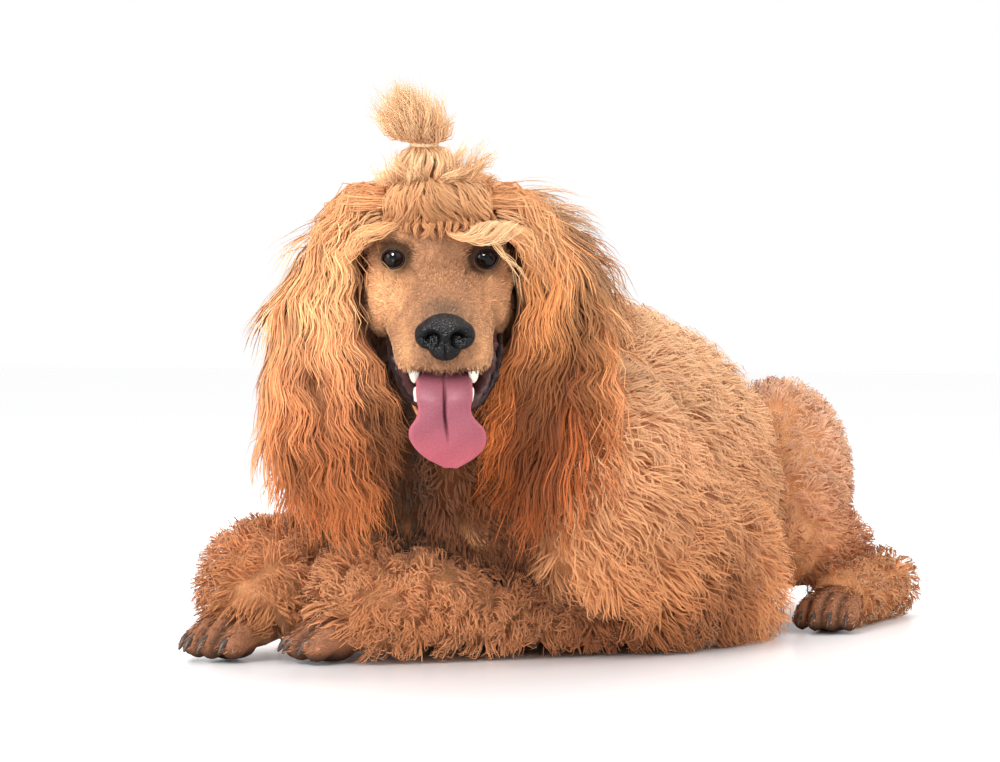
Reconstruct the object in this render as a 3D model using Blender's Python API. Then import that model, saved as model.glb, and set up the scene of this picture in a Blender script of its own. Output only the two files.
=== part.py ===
"""Standard poodle, life size, lying on its chest, forelegs in front and head turned to its left.

Frame: X to the dog's left, Y towards its tail, Z up, in metres, with the floor at Z = 0. The flesh of
each node is a set of balls strung along a few stations, melted into one smooth skin. Lengths in the
tables below are centimetres on the trunk's centreline and are scaled by CM.
"""

import math
import random

import bmesh
import bpy
from mathutils import Matrix, Vector
from mathutils.bvhtree import BVHTree

CM = 0.01
GAP = 0.0003
LEAST_GAP = 0.00003
STEP_DAMPING = 0.01
LONGEST_STEP = 8.0
FLOOR = 0.0

# The head's own frame has its origin between the eyes, X to the left, Y backwards and Z up.
HEAD_AT = Vector((1.8, -7.2, 28.4)) * CM
HEAD_YAW = math.radians(27)
HEAD_PITCH = math.radians(12)
# Ears hang straight down, so their frame turns with the head but doesn't tip with it.
EAR_FRAME = Matrix.Translation(HEAD_AT) @ Matrix.Rotation(HEAD_YAW, 4, "Z")
HEAD_FRAME = EAR_FRAME @ Matrix.Rotation(HEAD_PITCH, 4, "X")

# Depth of the coat on the skin of each part. A core takes half of it, and locks or clumps the rest.
COAT_TRUNK = 4.4 * CM
COAT_HIND = 1.6 * CM
COAT_FORELEG = 2.6 * CM
COAT_NECK = 6.2 * CM
COAT_FOOT = 1.2 * CM
COAT_TAIL = 4.2 * CM
COAT_EAR = 1.4 * CM
CORE_SHARE = 0.5
FUSED_SHARE = 0.58
ROOT_DEPTH = 0.8 * CM
MARGIN = 0.0006

FORE_ELBOW = {"left": (9.2, 13.5, 4.4), "right": (-9.2, 15.0, 4.4)}
FORE_CARPUS = {"left": (-5.6, -2.1, 4.4), "right": (-14.2, -2.8, 5.0)}
FORE_HEADING = {"left": 48, "right": 20}
HIND_HOCK = {"left": (15.9, 46.5, 2.6), "right": (-15.9, 46.5, 2.6)}
HIND_ANKLE = {"left": (16.3, 35.0, 2.4), "right": (-16.3, 35.0, 2.4)}
HIND_HEADING = {"left": -4, "right": 4}
SIDES = {"left": 1, "right": -1}

EYE_AT = (3.1, 0.45, 0.0)
EYE_RADIUS = 1.12
EYE_TURN = math.radians(14)
LID_WIDTH = math.radians(56)
LID_HEIGHT = math.radians(44)

APRICOT = (0.56, 0.25, 0.085)
CREAM = (0.72, 0.40, 0.17)
RUST = (0.40, 0.16, 0.05)
SHAVED = (0.42, 0.20, 0.10)
PAW_BROWN = (0.19, 0.085, 0.045)


def clear_scene():
    for obj in list(bpy.data.objects):
        bpy.data.objects.remove(obj)


def cm(values):
    return Vector(values) * CM


def material(name, colour, roughness):
    mat = bpy.data.materials.get(name)
    if mat is None:
        mat = bpy.data.materials.new(name)
        mat.use_nodes = True
        shader = mat.node_tree.nodes["Principled BSDF"]
        shader.inputs["Base Color"].default_value = (*colour, 1.0)
        shader.inputs["Roughness"].default_value = roughness
        shader.inputs["Metallic"].default_value = 0.0
    return mat


def object_of(bm, name):
    """Turns a bmesh into a linked object with its faces pointing out."""
    bmesh.ops.recalc_face_normals(bm, faces=bm.faces[:])
    mesh = bpy.data.meshes.new(name)
    bm.to_mesh(mesh)
    bm.free()
    obj = bpy.data.objects.new(name, mesh)
    bpy.context.scene.collection.objects.link(obj)
    return obj


def bake_modifiers(obj):
    """Replaces the object's mesh by what its modifiers make of it."""
    graph = bpy.context.evaluated_depsgraph_get()
    graph.update()
    made = bpy.data.meshes.new_from_object(obj.evaluated_get(graph), depsgraph=graph)
    obj.modifiers.clear()
    old = obj.data
    obj.data = made
    bpy.data.meshes.remove(old)
    return obj


def add_ball(bm, centre, radii, turn=None, subdivisions=3):
    """A ball or ellipsoid. turn is a rotation of its own axes."""
    scale = Matrix.Diagonal((*radii, 1.0))
    place = Matrix.Translation(centre) @ (turn or Matrix.Identity(4)) @ scale
    bmesh.ops.create_icosphere(bm, subdivisions=subdivisions, radius=1.0, matrix=place)


def add_chain(bm, stations, grow=0.0, turn=None, steps=6, mirrored=1):
    """Balls strung along stations of (centre, radii) in centimetres, close enough to melt into one limb."""
    made = []
    for centre, radii in stations:
        size = (radii,) * 3 if isinstance(radii, (int, float)) else radii
        made.append((cm((centre[0] * mirrored, centre[1], centre[2])), cm(size) + Vector((grow,) * 3)))
    if len(made) == 1:
        add_ball(bm, *made[0], turn)
    for (start, small), (end, large) in zip(made, made[1:]):
        for k in range(steps + 1):
            share = k / steps
            add_ball(bm, start.lerp(end, share), small.lerp(large, share), turn, 2)


def melt(bm, name, voxel, triangles, smoothing=8, frame=None):
    """Melts overlapping balls into one skin by voxels, smooths it and thins it to a count of triangles."""
    if frame is not None:
        bmesh.ops.transform(bm, matrix=frame, verts=bm.verts[:])
    obj = object_of(bm, name)
    remesh = obj.modifiers.new("Remesh", "REMESH")
    remesh.mode = "VOXEL"
    remesh.voxel_size = voxel
    smooth = obj.modifiers.new("Smooth", "SMOOTH")
    smooth.factor = 0.5
    smooth.iterations = smoothing
    bake_modifiers(obj)
    keep_largest(obj)
    thin(obj, triangles)
    return obj


def thin(obj, triangles):
    """Collapses edges until about this many triangles are left."""
    now = sum(len(p.vertices) - 2 for p in obj.data.polygons)
    if now > triangles:
        decimate = obj.modifiers.new("Decimate", "DECIMATE")
        decimate.ratio = triangles / now
        bake_modifiers(obj)


def shells(bm):
    """The faces of each connected surface."""
    left, found = set(bm.faces), []
    while left:
        stack = [left.pop()]
        shell = list(stack)
        while stack:
            for edge in stack.pop().edges:
                for face in edge.link_faces:
                    if face in left:
                        left.remove(face)
                        stack.append(face)
                        shell.append(face)
        found.append(shell)
    return found


def spread_of(faces):
    """Diagonal of the box round some faces."""
    points = [vert.co for face in faces for vert in face.verts]
    return Vector([max(axis) - min(axis) for axis in zip(*points)]).length


def keep_largest(obj):
    """Drops sealed hollows and loose scraps: only the largest closed surface stays."""
    bm = bmesh.new()
    bm.from_mesh(obj.data)
    found = sorted(shells(bm), key=spread_of)
    for shell in found[:-1]:
        bmesh.ops.delete(bm, geom=shell, context="FACES")
    loose = [v for v in bm.verts if not v.link_faces]
    bmesh.ops.delete(bm, geom=loose, context="VERTS")
    bmesh.ops.triangulate(bm, faces=bm.faces[:])
    bm.to_mesh(obj.data)
    bm.free()


def outward_step(vert, gap):
    """The move that takes every face round a vertex out by the gap, as nearly as its sharpness allows."""
    matrix = Matrix.Identity(3) * STEP_DAMPING
    pull = Vector()
    for face in vert.link_faces:
        normal = face.normal
        matrix += Matrix([normal * part for part in normal])
        pull += normal * gap
    step = matrix.inverted() @ pull
    return step * min(1.0, LONGEST_STEP * gap / max(step.length, 1e-9))


def swollen(obj, gap):
    """A copy of a node with its surface moved out by a gap."""
    bm = bmesh.new()
    bm.from_mesh(obj.data)
    bm.normal_update()
    steps = [outward_step(vert, gap) for vert in bm.verts]
    for vert, step in zip(bm.verts, steps):
        vert.co += step
    return object_of(bm, obj.name + "_cutter")


def boolean(obj, others, operation):
    """Joins the objects to obj, or cuts them from it, and removes them."""
    group = bpy.data.collections.new("operands")
    bpy.context.scene.collection.children.link(group)
    for other in others:
        group.objects.link(other)
    modifier = obj.modifiers.new("Boolean", "BOOLEAN")
    modifier.operation = operation
    modifier.operand_type = "COLLECTION"
    modifier.collection = group
    modifier.solver = "MANIFOLD"
    bake_modifiers(obj)
    for other in others:
        bpy.data.objects.remove(other)
    bpy.data.collections.remove(group)
    keep_largest(obj)
    return obj


def cut_clear(obj, neighbours):
    """Cuts obj back so that it meets each neighbour face to face, a gap apart or the least gap."""
    for gap in (GAP, LEAST_GAP):
        for other in neighbours:
            boolean(obj, [swollen(other, gap)], "DIFFERENCE")
    return obj


def rest_on_floor(obj):
    """Cuts a flat on everything below the floor's level."""
    reach = 2.0
    bm = bmesh.new()
    bmesh.ops.create_cube(bm, size=reach, matrix=Matrix.Translation((0, 0, FLOOR - reach / 2)))
    return boolean(obj, [object_of(bm, "floor_cutter")], "DIFFERENCE")


def finish(obj, mat, sharp_degrees=55):
    obj.data.materials.clear()
    obj.data.materials.append(mat)
    obj.data.shade_smooth()
    obj.data.set_sharp_from_angle(angle=math.radians(sharp_degrees))
    return obj


# Coat


def tree_of(obj):
    bm = bmesh.new()
    bm.from_mesh(obj.data)
    tree = BVHTree.FromBMesh(bm)
    bm.free()
    return tree


def lies_in(tree, point):
    """Whether a closed surface holds the point: a ray leaves it through an odd number of faces."""
    ray = Vector((0.13, 0.21, 1.0)).normalized()
    start, crossings = point.copy(), 0
    while True:
        hit, _, _, _ = tree.ray_cast(start, ray)
        if hit is None:
            return crossings % 2 == 1
        crossings += 1
        start = hit + ray * 0.00005


def held_inside(tree, point, margin=MARGIN):
    """The point, or the nearest one that lies at least the margin inside the outer form of the coat."""
    near, normal, _, _ = tree.find_nearest(point)
    if (near - point).dot(normal) < margin:
        return near - normal * margin
    return point


class Coat:
    """The room between a core and the outer form of its coat, in which locks and clumps are placed."""

    def __init__(self, core, outer):
        self.core = tree_of(core)
        self.outer = tree_of(outer)
        bpy.data.objects.remove(outer)

    def depth(self, point, normal):
        """Depth of the coat over a point on the core."""
        hit, _, _, distance = self.outer.ray_cast(point - normal * MARGIN, normal)
        return 0.0 if hit is None else distance - MARGIN

    def at(self, point, share):
        """The point carried to the core, then out by a share of the coat's depth. Below 0 is a root."""
        near, normal, _, _ = self.core.find_nearest(point)
        if share < 0:
            return near - normal * ROOT_DEPTH
        return held_inside(self.outer, near + normal * self.depth(near, normal) * share)


def roots_on(obj, spacing, seed, covered, lowest=1.2 * CM):
    """Evenly spread (point, normal) pairs on the part of a core that no neighbour covers."""
    dice = random.Random(seed)
    faces = [(p.area, p.normal.copy(), list(p.vertices)) for p in obj.data.polygons]
    total = sum(face[0] for face in faces)
    tries = int(14 * total / (spacing * spacing)) + 60
    chosen = []
    for _, normal, corners in dice.choices(faces, weights=[face[0] for face in faces], k=tries):
        a, b = sorted((dice.random(), dice.random()))
        point = Vector()
        for share, corner in zip((a, b - a, 1 - b), corners):
            point += obj.data.vertices[corner].co * share
        under = point.z < lowest or (normal.z < -0.4 and point.z < 6 * CM)
        if under or any(lies_in(tree, point) for tree in covered):
            continue
        if all((point - other).length > spacing for other, _ in chosen):
            chosen.append((point, normal))
    return chosen


def skinned(rings, tip, name):
    """A closed mesh of rings of points, open-ended only in the single point that is its tip."""
    bm = bmesh.new()
    made = [[bm.verts.new(point) for point in ring] for ring in rings]
    sides = len(rings[0])
    bm.faces.new(made[0][::-1])
    for first, second in zip(made, made[1:]):
        for i in range(sides):
            j = (i + 1) % sides
            bm.faces.new((first[i], first[j], second[j], second[i]))
    end = bm.verts.new(tip)
    for i in range(sides):
        bm.faces.new((made[-1][i], made[-1][(i + 1) % sides], end))
    bmesh.ops.triangulate(bm, faces=bm.faces[:])
    return object_of(bm, name)


LOCK_PROFILE = (0.75, 1.0, 0.72)


def lock(path, width, thick, normal):
    """A flat tapered lock along a path of four points, lens-shaped across, that ends in a tip."""
    rings = []
    for k, size in enumerate(LOCK_PROFILE):
        along = (path[k + 1] - path[max(k - 1, 0)]).normalized()
        across = normal.cross(along).normalized()
        up = along.cross(across)
        flat, high = across * width * size * 0.5, up * thick * size * 0.5
        rings.append([path[k] + offset for offset in (flat, high, -flat, -high)])
    return skinned(rings, path[3], "lock")


# Stations of a lock that hugs the body: share of its length, of its width, and of the coat's depth.
LAID_PROFILE = ((0.0, 0.62, -1.0), (0.34, 1.0, 0.62), (0.72, 0.78, 0.95))


def laid_lock(coat, point, normal, fall, size):
    """A flat lock that leaves its root, follows the body along the lie of the hair and tapers to a tip."""
    length, width, thick = size
    across = normal.cross(fall).normalized()
    rings = []
    for along, wide, level in LAID_PROFILE:
        middle = point + fall * length * along
        side = across * width * wide * 0.5
        crest = coat.at(middle, level)
        edges = [coat.at(middle + offset, level * 0.72) for offset in (side, -side)]
        keel = crest.lerp((edges[0] + edges[1]) / 2, 0.5) - normal * thick
        rings.append([edges[0], crest, edges[1], keel])
    return skinned(rings, coat.at(point + fall * length, 0.9), "lock")


CLUMP_SIDES = 5
CLUMP_PROFILE = ((0.8, -1.0), (1.0, 0.25), (0.66, 0.82))


def clump(coat, point, normal, radius, twist):
    """A rounded tuft of curls: a dome that follows the body and leans a little from the skin's normal."""
    side = normal.orthogonal().normalized()
    front = normal.cross(side)
    turns = [twist + math.tau * i / CLUMP_SIDES for i in range(CLUMP_SIDES)]
    rings = [
        [coat.at(point + (side * math.cos(a) + front * math.sin(a)) * radius * wide, level) for a in turns]
        for wide, level in CLUMP_PROFILE
    ]
    return skinned(rings, coat.at(point + side * radius * 0.12, 1.0), "clump")


def comb_locks(roots, coat, size, lie, seed):
    """Locks on the given roots, each combed along the lie of the hair."""
    dice = random.Random(seed)
    locks = []
    for point, normal in roots:
        fall = lie(point, normal).normalized()
        fall = (fall - normal * fall.dot(normal)).normalized()
        fall = Matrix.Rotation(dice.uniform(-0.3, 0.3), 3, normal) @ fall
        stretch = dice.uniform(0.85, 1.15)
        locks.append(laid_lock(coat, point, normal, fall, (size[0] * stretch, size[1], size[2])))
    return locks


def curl_clumps(roots, coat, radius, seed):
    """Rounded clumps on the given roots, as high as the coat is deep there."""
    dice = random.Random(seed)
    return [
        clump(coat, point, normal, radius * dice.uniform(0.9, 1.12), dice.uniform(0, math.tau))
        for point, normal in roots
    ]


def both_forms(name, shape, voxel, triangles, frame=None):
    """The core of a node, and the smooth form that its locks and clumps fill out to their tips."""
    made = []
    for label, share in ((name, CORE_SHARE), (name + "_outer", 1.0)):
        bm = bmesh.new()
        shape(bm, share)
        made.append(melt(bm, label, voxel, triangles, 6, frame))
    return made


def hidden_tree(shape, *side):
    """The room that the core of another node takes, where its neighbours need no coat of their own."""
    bm = bmesh.new()
    shape(bm, *side, CORE_SHARE)
    form = melt(bm, "hidden", 1.5 * CM, 400)
    tree = tree_of(form)
    bpy.data.objects.remove(form)
    return tree


def is_folded(obj):
    """Whether two faces of a piece that share no corner cross."""
    bm = bmesh.new()
    bm.from_mesh(obj.data)
    bm.faces.ensure_lookup_table()
    corners = [{vert.index for vert in face.verts} for face in bm.faces]
    tree = BVHTree.FromBMesh(bm)
    bm.free()
    return any(not corners[a] & corners[b] for a, b in tree.overlap(tree) if a < b)


def fuse(core, pieces):
    """One closed body of the core and the pieces rooted in it, rid of the smallest slivers of the union."""
    for piece in [piece for piece in pieces if is_folded(piece)]:
        pieces.remove(piece)
        bpy.data.objects.remove(piece)
    boolean(core, pieces, "UNION")
    thin(core, int(FUSED_SHARE * len(core.data.polygons)))
    return core


# Trunk and neck


def trunk_stations():
    """Sections from breastbone to rump: (centre, radii) in centimetres."""
    return (
        ((0, 3.0, 14.5), (6.0, 4.5, 6.2)),
        ((0, 8.0, 12.6), (8.4, 6.0, 8.4)),
        ((0, 15.0, 12.2), (9.8, 7.0, 10.8)),
        ((0, 26.0, 11.2), (9.9, 7.0, 9.9)),
    ), (
        ((0, 24.0, 10.6), (9.6, 7.0, 9.4)),
        ((0, 34.0, 10.2), (9.0, 7.0, 9.0)),
        ((0, 43.0, 9.4), (8.6, 7.0, 8.0)),
        ((0, 49.0, 8.8), (6.8, 5.4, 6.6)),
    )


def shoulder_stations():
    return (
        ((7.0, 5.5, 12.5), (3.6, 4.6, 5.6)),
        ((8.6, 12.5, 7.4), (3.2, 4.0, 4.6)),
        ((10.0, 20.5, 5.4), (2.6, 3.6, 3.2)),
    )


def shape_torso(bm, share):
    fore, rear = trunk_stations()
    add_chain(bm, fore, COAT_TRUNK * share)
    add_chain(bm, rear, COAT_HIND * share)
    for side in SIDES.values():
        add_chain(bm, shoulder_stations(), COAT_TRUNK * share, mirrored=side)


def shape_neck(bm, share):
    grow = COAT_NECK * share
    turn = Matrix.Rotation(HEAD_YAW, 4, "Z")
    add_chain(
        bm,
        (
            ((-0.6, 5.5, 17.0), (6.6, 5.6, 5.0)),
            ((-1.6, 4.6, 22.0), (6.6, 4.8, 5.6)),
            ((-1.6, 3.6, 27.4), (6.4, 4.4, 2.2)),
        ),
        grow,
        turn,
    )
    add_chain(bm, (((-5.6, 1.5, 14.5), (4.4, 3.4, 5.0)),), grow)


LONG_COAT_END = 29.0 * CM


def trunk_lie(point, normal):
    """Long hair of the chest and back lies towards the tail and falls down the flanks."""
    return Vector((0, 0.8, -0.8)) if point.y > 4 * CM else Vector((0, 0.1, -1))


def mane_lie(point, normal):
    """The mane parts over the neck, spreads to both sides of the head and falls below it."""
    side = max(-1.0, min(1.0, (point.x + 2 * CM) / (6 * CM)))
    return Vector((1.2 * side, 0.6, -0.5)) if point.z > 28 * CM else Vector((0.35 * side, 0.35, -1))


def make_torso(covered):
    core, outer = both_forms("torso", shape_torso, 1.2 * CM, 260)
    coat = Coat(core, outer)
    roots = roots_on(core, 7.0 * CM, 11, covered)
    long_hair = [root for root in roots if root[0].y < LONG_COAT_END]
    short_hair = [root for root in roots if root[0].y >= LONG_COAT_END]
    locks = comb_locks(long_hair, coat, (12.0 * CM, 8.4 * CM, 1.6 * CM), trunk_lie, 12)
    clumps = curl_clumps(short_hair, coat, 4.8 * CM, 13)
    return fuse(core, locks + clumps)


def make_neck(covered):
    core, outer = both_forms("neck", shape_neck, 1.2 * CM, 260)
    roots = roots_on(core, 5.4 * CM, 21, covered)
    locks = comb_locks(roots, Coat(core, outer), (11.0 * CM, 6.8 * CM, 1.8 * CM), mane_lie, 22)
    return fuse(core, locks)


# Head


def head_balls():
    """Upper head: skull, brows, cheekbones, cheeks, muzzle and flews, in the head's frame."""
    middle = (
        ((0, 6.0, 0.0), (4.7, 6.4, 3.6)),
        ((0, 2.1, 0.6), (3.7, 3.4, 3.1)),
        ((0, 4.5, -2.4), (4.0, 6.0, 3.2)),
    )
    muzzle = (
        ((0, 0.6, -1.9), (2.6, 2.4, 2.5)),
        ((0, -3.4, -2.8), (2.6, 2.6, 2.4)),
        ((0, -6.6, -3.2), (2.45, 2.4, 2.15)),
        ((0, -8.7, -3.5), (2.35, 1.9, 2.0)),
    )
    paired = (
        ((2.5, 0.3, 1.45), (1.7, 1.7, 1.05)),
        ((3.5, 1.6, -1.9), (1.5, 3.0, 1.4)),
        ((3.3, 3.6, -3.7), (1.8, 4.2, 2.7)),
    )
    flews = (
        ((2.75, -0.8, -4.3), (1.6, 2.4, 1.5)),
        ((2.15, -4.8, -4.6), (1.5, 2.6, 1.35)),
        ((1.5, -8.0, -4.75), (1.5, 2.3, 1.4)),
    )
    return middle, muzzle, paired, flews


def lid_tube(side, arch, name):
    """One eyelid: a tapered rim that follows the eyeball from corner to corner."""
    centre = cm((EYE_AT[0] * side, EYE_AT[1], EYE_AT[2]))
    facing = Matrix.Rotation(side * EYE_TURN, 4, "Z")
    steps = 7
    bm = bmesh.new()
    rings = []
    for k in range(steps + 1):
        across = -1 + 2 * k / steps
        azimuth = across * LID_WIDTH
        height = arch * LID_HEIGHT * math.sqrt(1 - across * across) - math.radians(2)
        level = math.cos(height)
        ray = Vector((math.sin(azimuth) * level, -math.cos(azimuth) * level, math.sin(height)))
        ray = facing @ ray
        size = (0.12 + 0.13 * (1 - across * across)) * CM
        middle = centre + ray * (EYE_RADIUS * CM + GAP + size)
        rise = Vector((0, 0, 1)) - ray * ray.z
        rise.normalize()
        rings.append(
            [
                middle + (rise * math.sin(a) + ray * math.cos(a)) * size
                for a in (math.tau * i / 5 for i in range(5))
            ]
        )
    add_loft(bm, rings)
    bmesh.ops.transform(bm, matrix=HEAD_FRAME, verts=bm.verts[:])
    return object_of(bm, name)


def socket(side):
    """Opening of the lids: a lens that clears the front of the eyeball."""
    bm = bmesh.new()
    facing = Matrix.Rotation(side * EYE_TURN, 4, "Z")
    add_ball(bm, cm((EYE_AT[0] * side, EYE_AT[1], EYE_AT[2])), cm((EYE_RADIUS + 0.12,) * 3), None, 3)
    front = cm((EYE_AT[0] * side, EYE_AT[1], EYE_AT[2])) + facing @ cm((0, -1.3, 0))
    add_ball(bm, front, cm((1.1, 1.1, 0.95)), facing, 3)
    bmesh.ops.transform(bm, matrix=HEAD_FRAME, verts=bm.verts[:])
    obj = object_of(bm, "socket")
    remesh = obj.modifiers.new("Remesh", "REMESH")
    remesh.mode = "VOXEL"
    remesh.voxel_size = 0.12 * CM
    bake_modifiers(obj)
    thin(obj, 160)
    return obj


def add_loft(bm, rings):
    """Skins closed rings of points in order and closes both ends."""
    made = [[bm.verts.new(point) for point in ring] for ring in rings]
    for first, second in zip(made, made[1:]):
        for i in range(len(first)):
            j = (i + 1) % len(first)
            bm.faces.new((first[i], first[j], second[j], second[i]))
    bm.faces.new(made[0][::-1])
    bm.faces.new(made[-1])


def make_head():
    bm = bmesh.new()
    middle, muzzle, paired, flews = head_balls()
    for station in middle:
        add_chain(bm, (station,))
    add_chain(bm, muzzle)
    for side in SIDES.values():
        for station in paired:
            add_chain(bm, (station,), mirrored=side)
        add_chain(bm, flews, mirrored=side)
    head = melt(bm, "head", 0.32 * CM, 900, 6, HEAD_FRAME)
    boolean(head, [socket(side) for side in SIDES.values()], "DIFFERENCE")
    lids = [
        lid_tube(side, arch, "lid")
        for side in SIDES.values()
        for arch in (1.0, -0.95)
    ]
    return boolean(head, lids, "UNION")


def make_jaw():
    bm = bmesh.new()
    add_chain(
        bm,
        (
            ((0, 3.0, -6.0), (3.4, 2.6, 1.7)),
            ((0, -2.0, -7.0), (3.0, 2.6, 1.3)),
            ((0, -5.2, -8.2), (2.4, 2.2, 1.1)),
            ((0, -7.4, -9.0), (1.9, 1.6, 0.9)),
        ),
    )
    jaw = melt(bm, "jaw", 0.3 * CM, 200, 4, HEAD_FRAME)
    return boolean(jaw, [lower_lip()], "UNION")


def lower_lip():
    """The dark lip from one corner of the mouth round the chin to the other."""
    half = (
        (3.6, -2.9, -5.3, 0.34),
        (3.55, -4.1, -6.3, 0.40),
        (3.05, -5.3, -7.5, 0.42),
        (2.35, -7.0, -8.25, 0.40),
        (1.2, -8.3, -8.65, 0.36),
    )
    path = [(-x, y, z, r) for x, y, z, r in half] + [(0.0, -8.65, -8.75, 0.34)] + list(half[::-1])
    bm = bmesh.new()
    add_tube(bm, [(cm(point[:3]), point[3] * CM) for point in path], 5)
    bmesh.ops.transform(bm, matrix=HEAD_FRAME, verts=bm.verts[:])
    return object_of(bm, "lip")


def add_tube(bm, path, sides):
    """A tube through (point, radius) pairs."""
    rings = []
    for k, (point, radius) in enumerate(path):
        along = (path[min(k + 1, len(path) - 1)][0] - path[max(k - 1, 0)][0]).normalized()
        across = along.cross(Vector((0, 0, 1))).normalized()
        up = across.cross(along)
        rings.append(
            [
                point + (across * math.cos(a) + up * math.sin(a)) * radius
                for a in (math.tau * i / sides for i in range(sides))
            ]
        )
    add_loft(bm, rings)


def make_nose():
    bm = bmesh.new()
    add_chain(bm, (((0, -10.5, -2.9), (1.75, 1.1, 1.25)),))
    add_chain(bm, (((0, -10.6, -3.9), (1.15, 0.95, 1.05)),))
    for side in SIDES.values():
        add_chain(bm, (((1.1, -10.45, -3.15), (0.9, 0.95, 0.95)),), mirrored=side)
    nose = melt(bm, "nose", 0.14 * CM, 220, 4, HEAD_FRAME)
    nostrils = []
    for side in SIDES.values():
        pit = bmesh.new()
        add_ball(pit, cm((0.9 * side, -11.5, -3.2)), cm((0.44, 0.7, 0.42)), None, 1)
        add_ball(pit, cm((1.3 * side, -11.2, -3.4)), cm((0.4, 0.6, 0.16)), None, 1)
        bmesh.ops.transform(pit, matrix=HEAD_FRAME, verts=pit.verts[:])
        nostrils.append(object_of(pit, "nostril"))
    return boolean(nose, nostrils, "DIFFERENCE")


def make_eye(side):
    bm = bmesh.new()
    centre = cm((EYE_AT[0] * SIDES[side], EYE_AT[1], EYE_AT[2]))
    add_ball(bm, centre, cm((EYE_RADIUS,) * 3), None, 2)
    bmesh.ops.transform(bm, matrix=HEAD_FRAME, verts=bm.verts[:])
    return object_of(bm, "eye_" + side)


def tongue_path():
    """Middle line of the tongue in the head's frame: (y, z, half width, half thickness) in centimetres."""
    return (
        (-3.0, -6.1, 1.5, 0.42),
        (-5.5, -6.2, 1.6, 0.45),
        (-7.8, -6.35, 1.75, 0.45),
        (-9.4, -6.75, 1.85, 0.42),
        (-10.2, -7.6, 1.9, 0.38),
        (-10.2, -8.8, 2.2, 0.36),
        (-9.9, -10.0, 2.45, 0.36),
        (-9.5, -11.1, 2.2, 0.34),
        (-9.15, -11.9, 1.4, 0.28),
        (-9.0, -12.2, 0.6, 0.2),
    )


def make_tongue():
    """A flat strap, grooved down its middle, that turns down over the lip and ends in a round tip."""
    path = tongue_path()
    sides = 10
    rings = []
    for k, (y, z, half, thick) in enumerate(path):
        before = path[max(k - 1, 0)]
        after = path[min(k + 1, len(path) - 1)]
        along = Vector((0, after[0] - before[0], after[1] - before[1])).normalized()
        out = along.cross(Vector((1, 0, 0)))
        ring = []
        for i in range(sides):
            angle = math.tau * i / sides
            x, lift = math.cos(angle) * half, math.sin(angle) * thick
            groove = 0.16 * math.exp(-((x / 0.35) ** 2)) * (lift > 0)
            curl = 0.2 * (x / half) ** 2
            ring.append(cm((x, y, z)) + out * (lift - groove + curl) * CM)
        rings.append(ring)
    bm = bmesh.new()
    add_loft(bm, rings)
    bmesh.ops.transform(bm, matrix=HEAD_FRAME, verts=bm.verts[:])
    return object_of(bm, "tongue")


def make_tooth(name, root, tip, radius):
    """A canine: a cone that leans a little from root to tip, in the head's frame."""
    bm = bmesh.new()
    start, end = cm(root), cm(tip)
    rings = []
    for share, size in ((0.0, 1.0), (0.35, 0.95), (0.7, 0.65), (1.0, 0.22)):
        centre = start.lerp(end, share)
        rings.append(
            [
                centre + Vector((math.cos(a), math.sin(a), 0)) * radius * size * CM
                for a in (math.tau * i / 7 for i in range(7))
            ]
        )
    add_loft(bm, rings)
    bmesh.ops.transform(bm, matrix=HEAD_FRAME, verts=bm.verts[:])
    return object_of(bm, name)


# Ears and topknot


def ear_stations():
    """Leather of one ear from its base down: (centre, radii) in the ear's frame, in centimetres."""
    return (
        ((6.8, 3.2, 1.4), (1.2, 1.3, 1.0)),
        ((8.3, 3.1, -3.0), (2.4, 1.3, 2.2)),
        ((8.2, 2.6, -8.5), (3.2, 1.3, 3.0)),
    )


def shape_ear(bm, side, share):
    """The leather with its hair, which hangs well below it."""
    mirrored = SIDES[side]
    add_chain(bm, ear_stations(), COAT_EAR * share, mirrored=mirrored)
    if share == 1.0:
        lower = (((8.2, 2.6, -8.0), (4.2, 2.7, 2.6)), ((7.1, 1.8, -13.0), (5.2, 2.7, 2.6)),
                 ((6.7, 1.2, -17.0), (4.6, 2.3, 1.9)), ((6.4, 1.0, -19.2), (3.0, 1.7, 1.3)))
        add_chain(bm, lower, mirrored=mirrored)


EAR_LOCK_CORE = 0.6 * CM
# Height of the roots, how many, how far they spread, their length, and the faces of the leather.
EAR_LOCK_ROWS = (
    (1.6, 2, 1.0, 8.0, (-1,)),
    (-2.0, 3, 2.2, 8.5, (-1,)),
    (-5.0, 4, 3.2, 10.5, (-1,)),
    (-6.0, 3, 3.0, 13.0, (1,)),
    (-9.5, 4, 3.6, 11.0, (-1,)),
)


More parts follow.
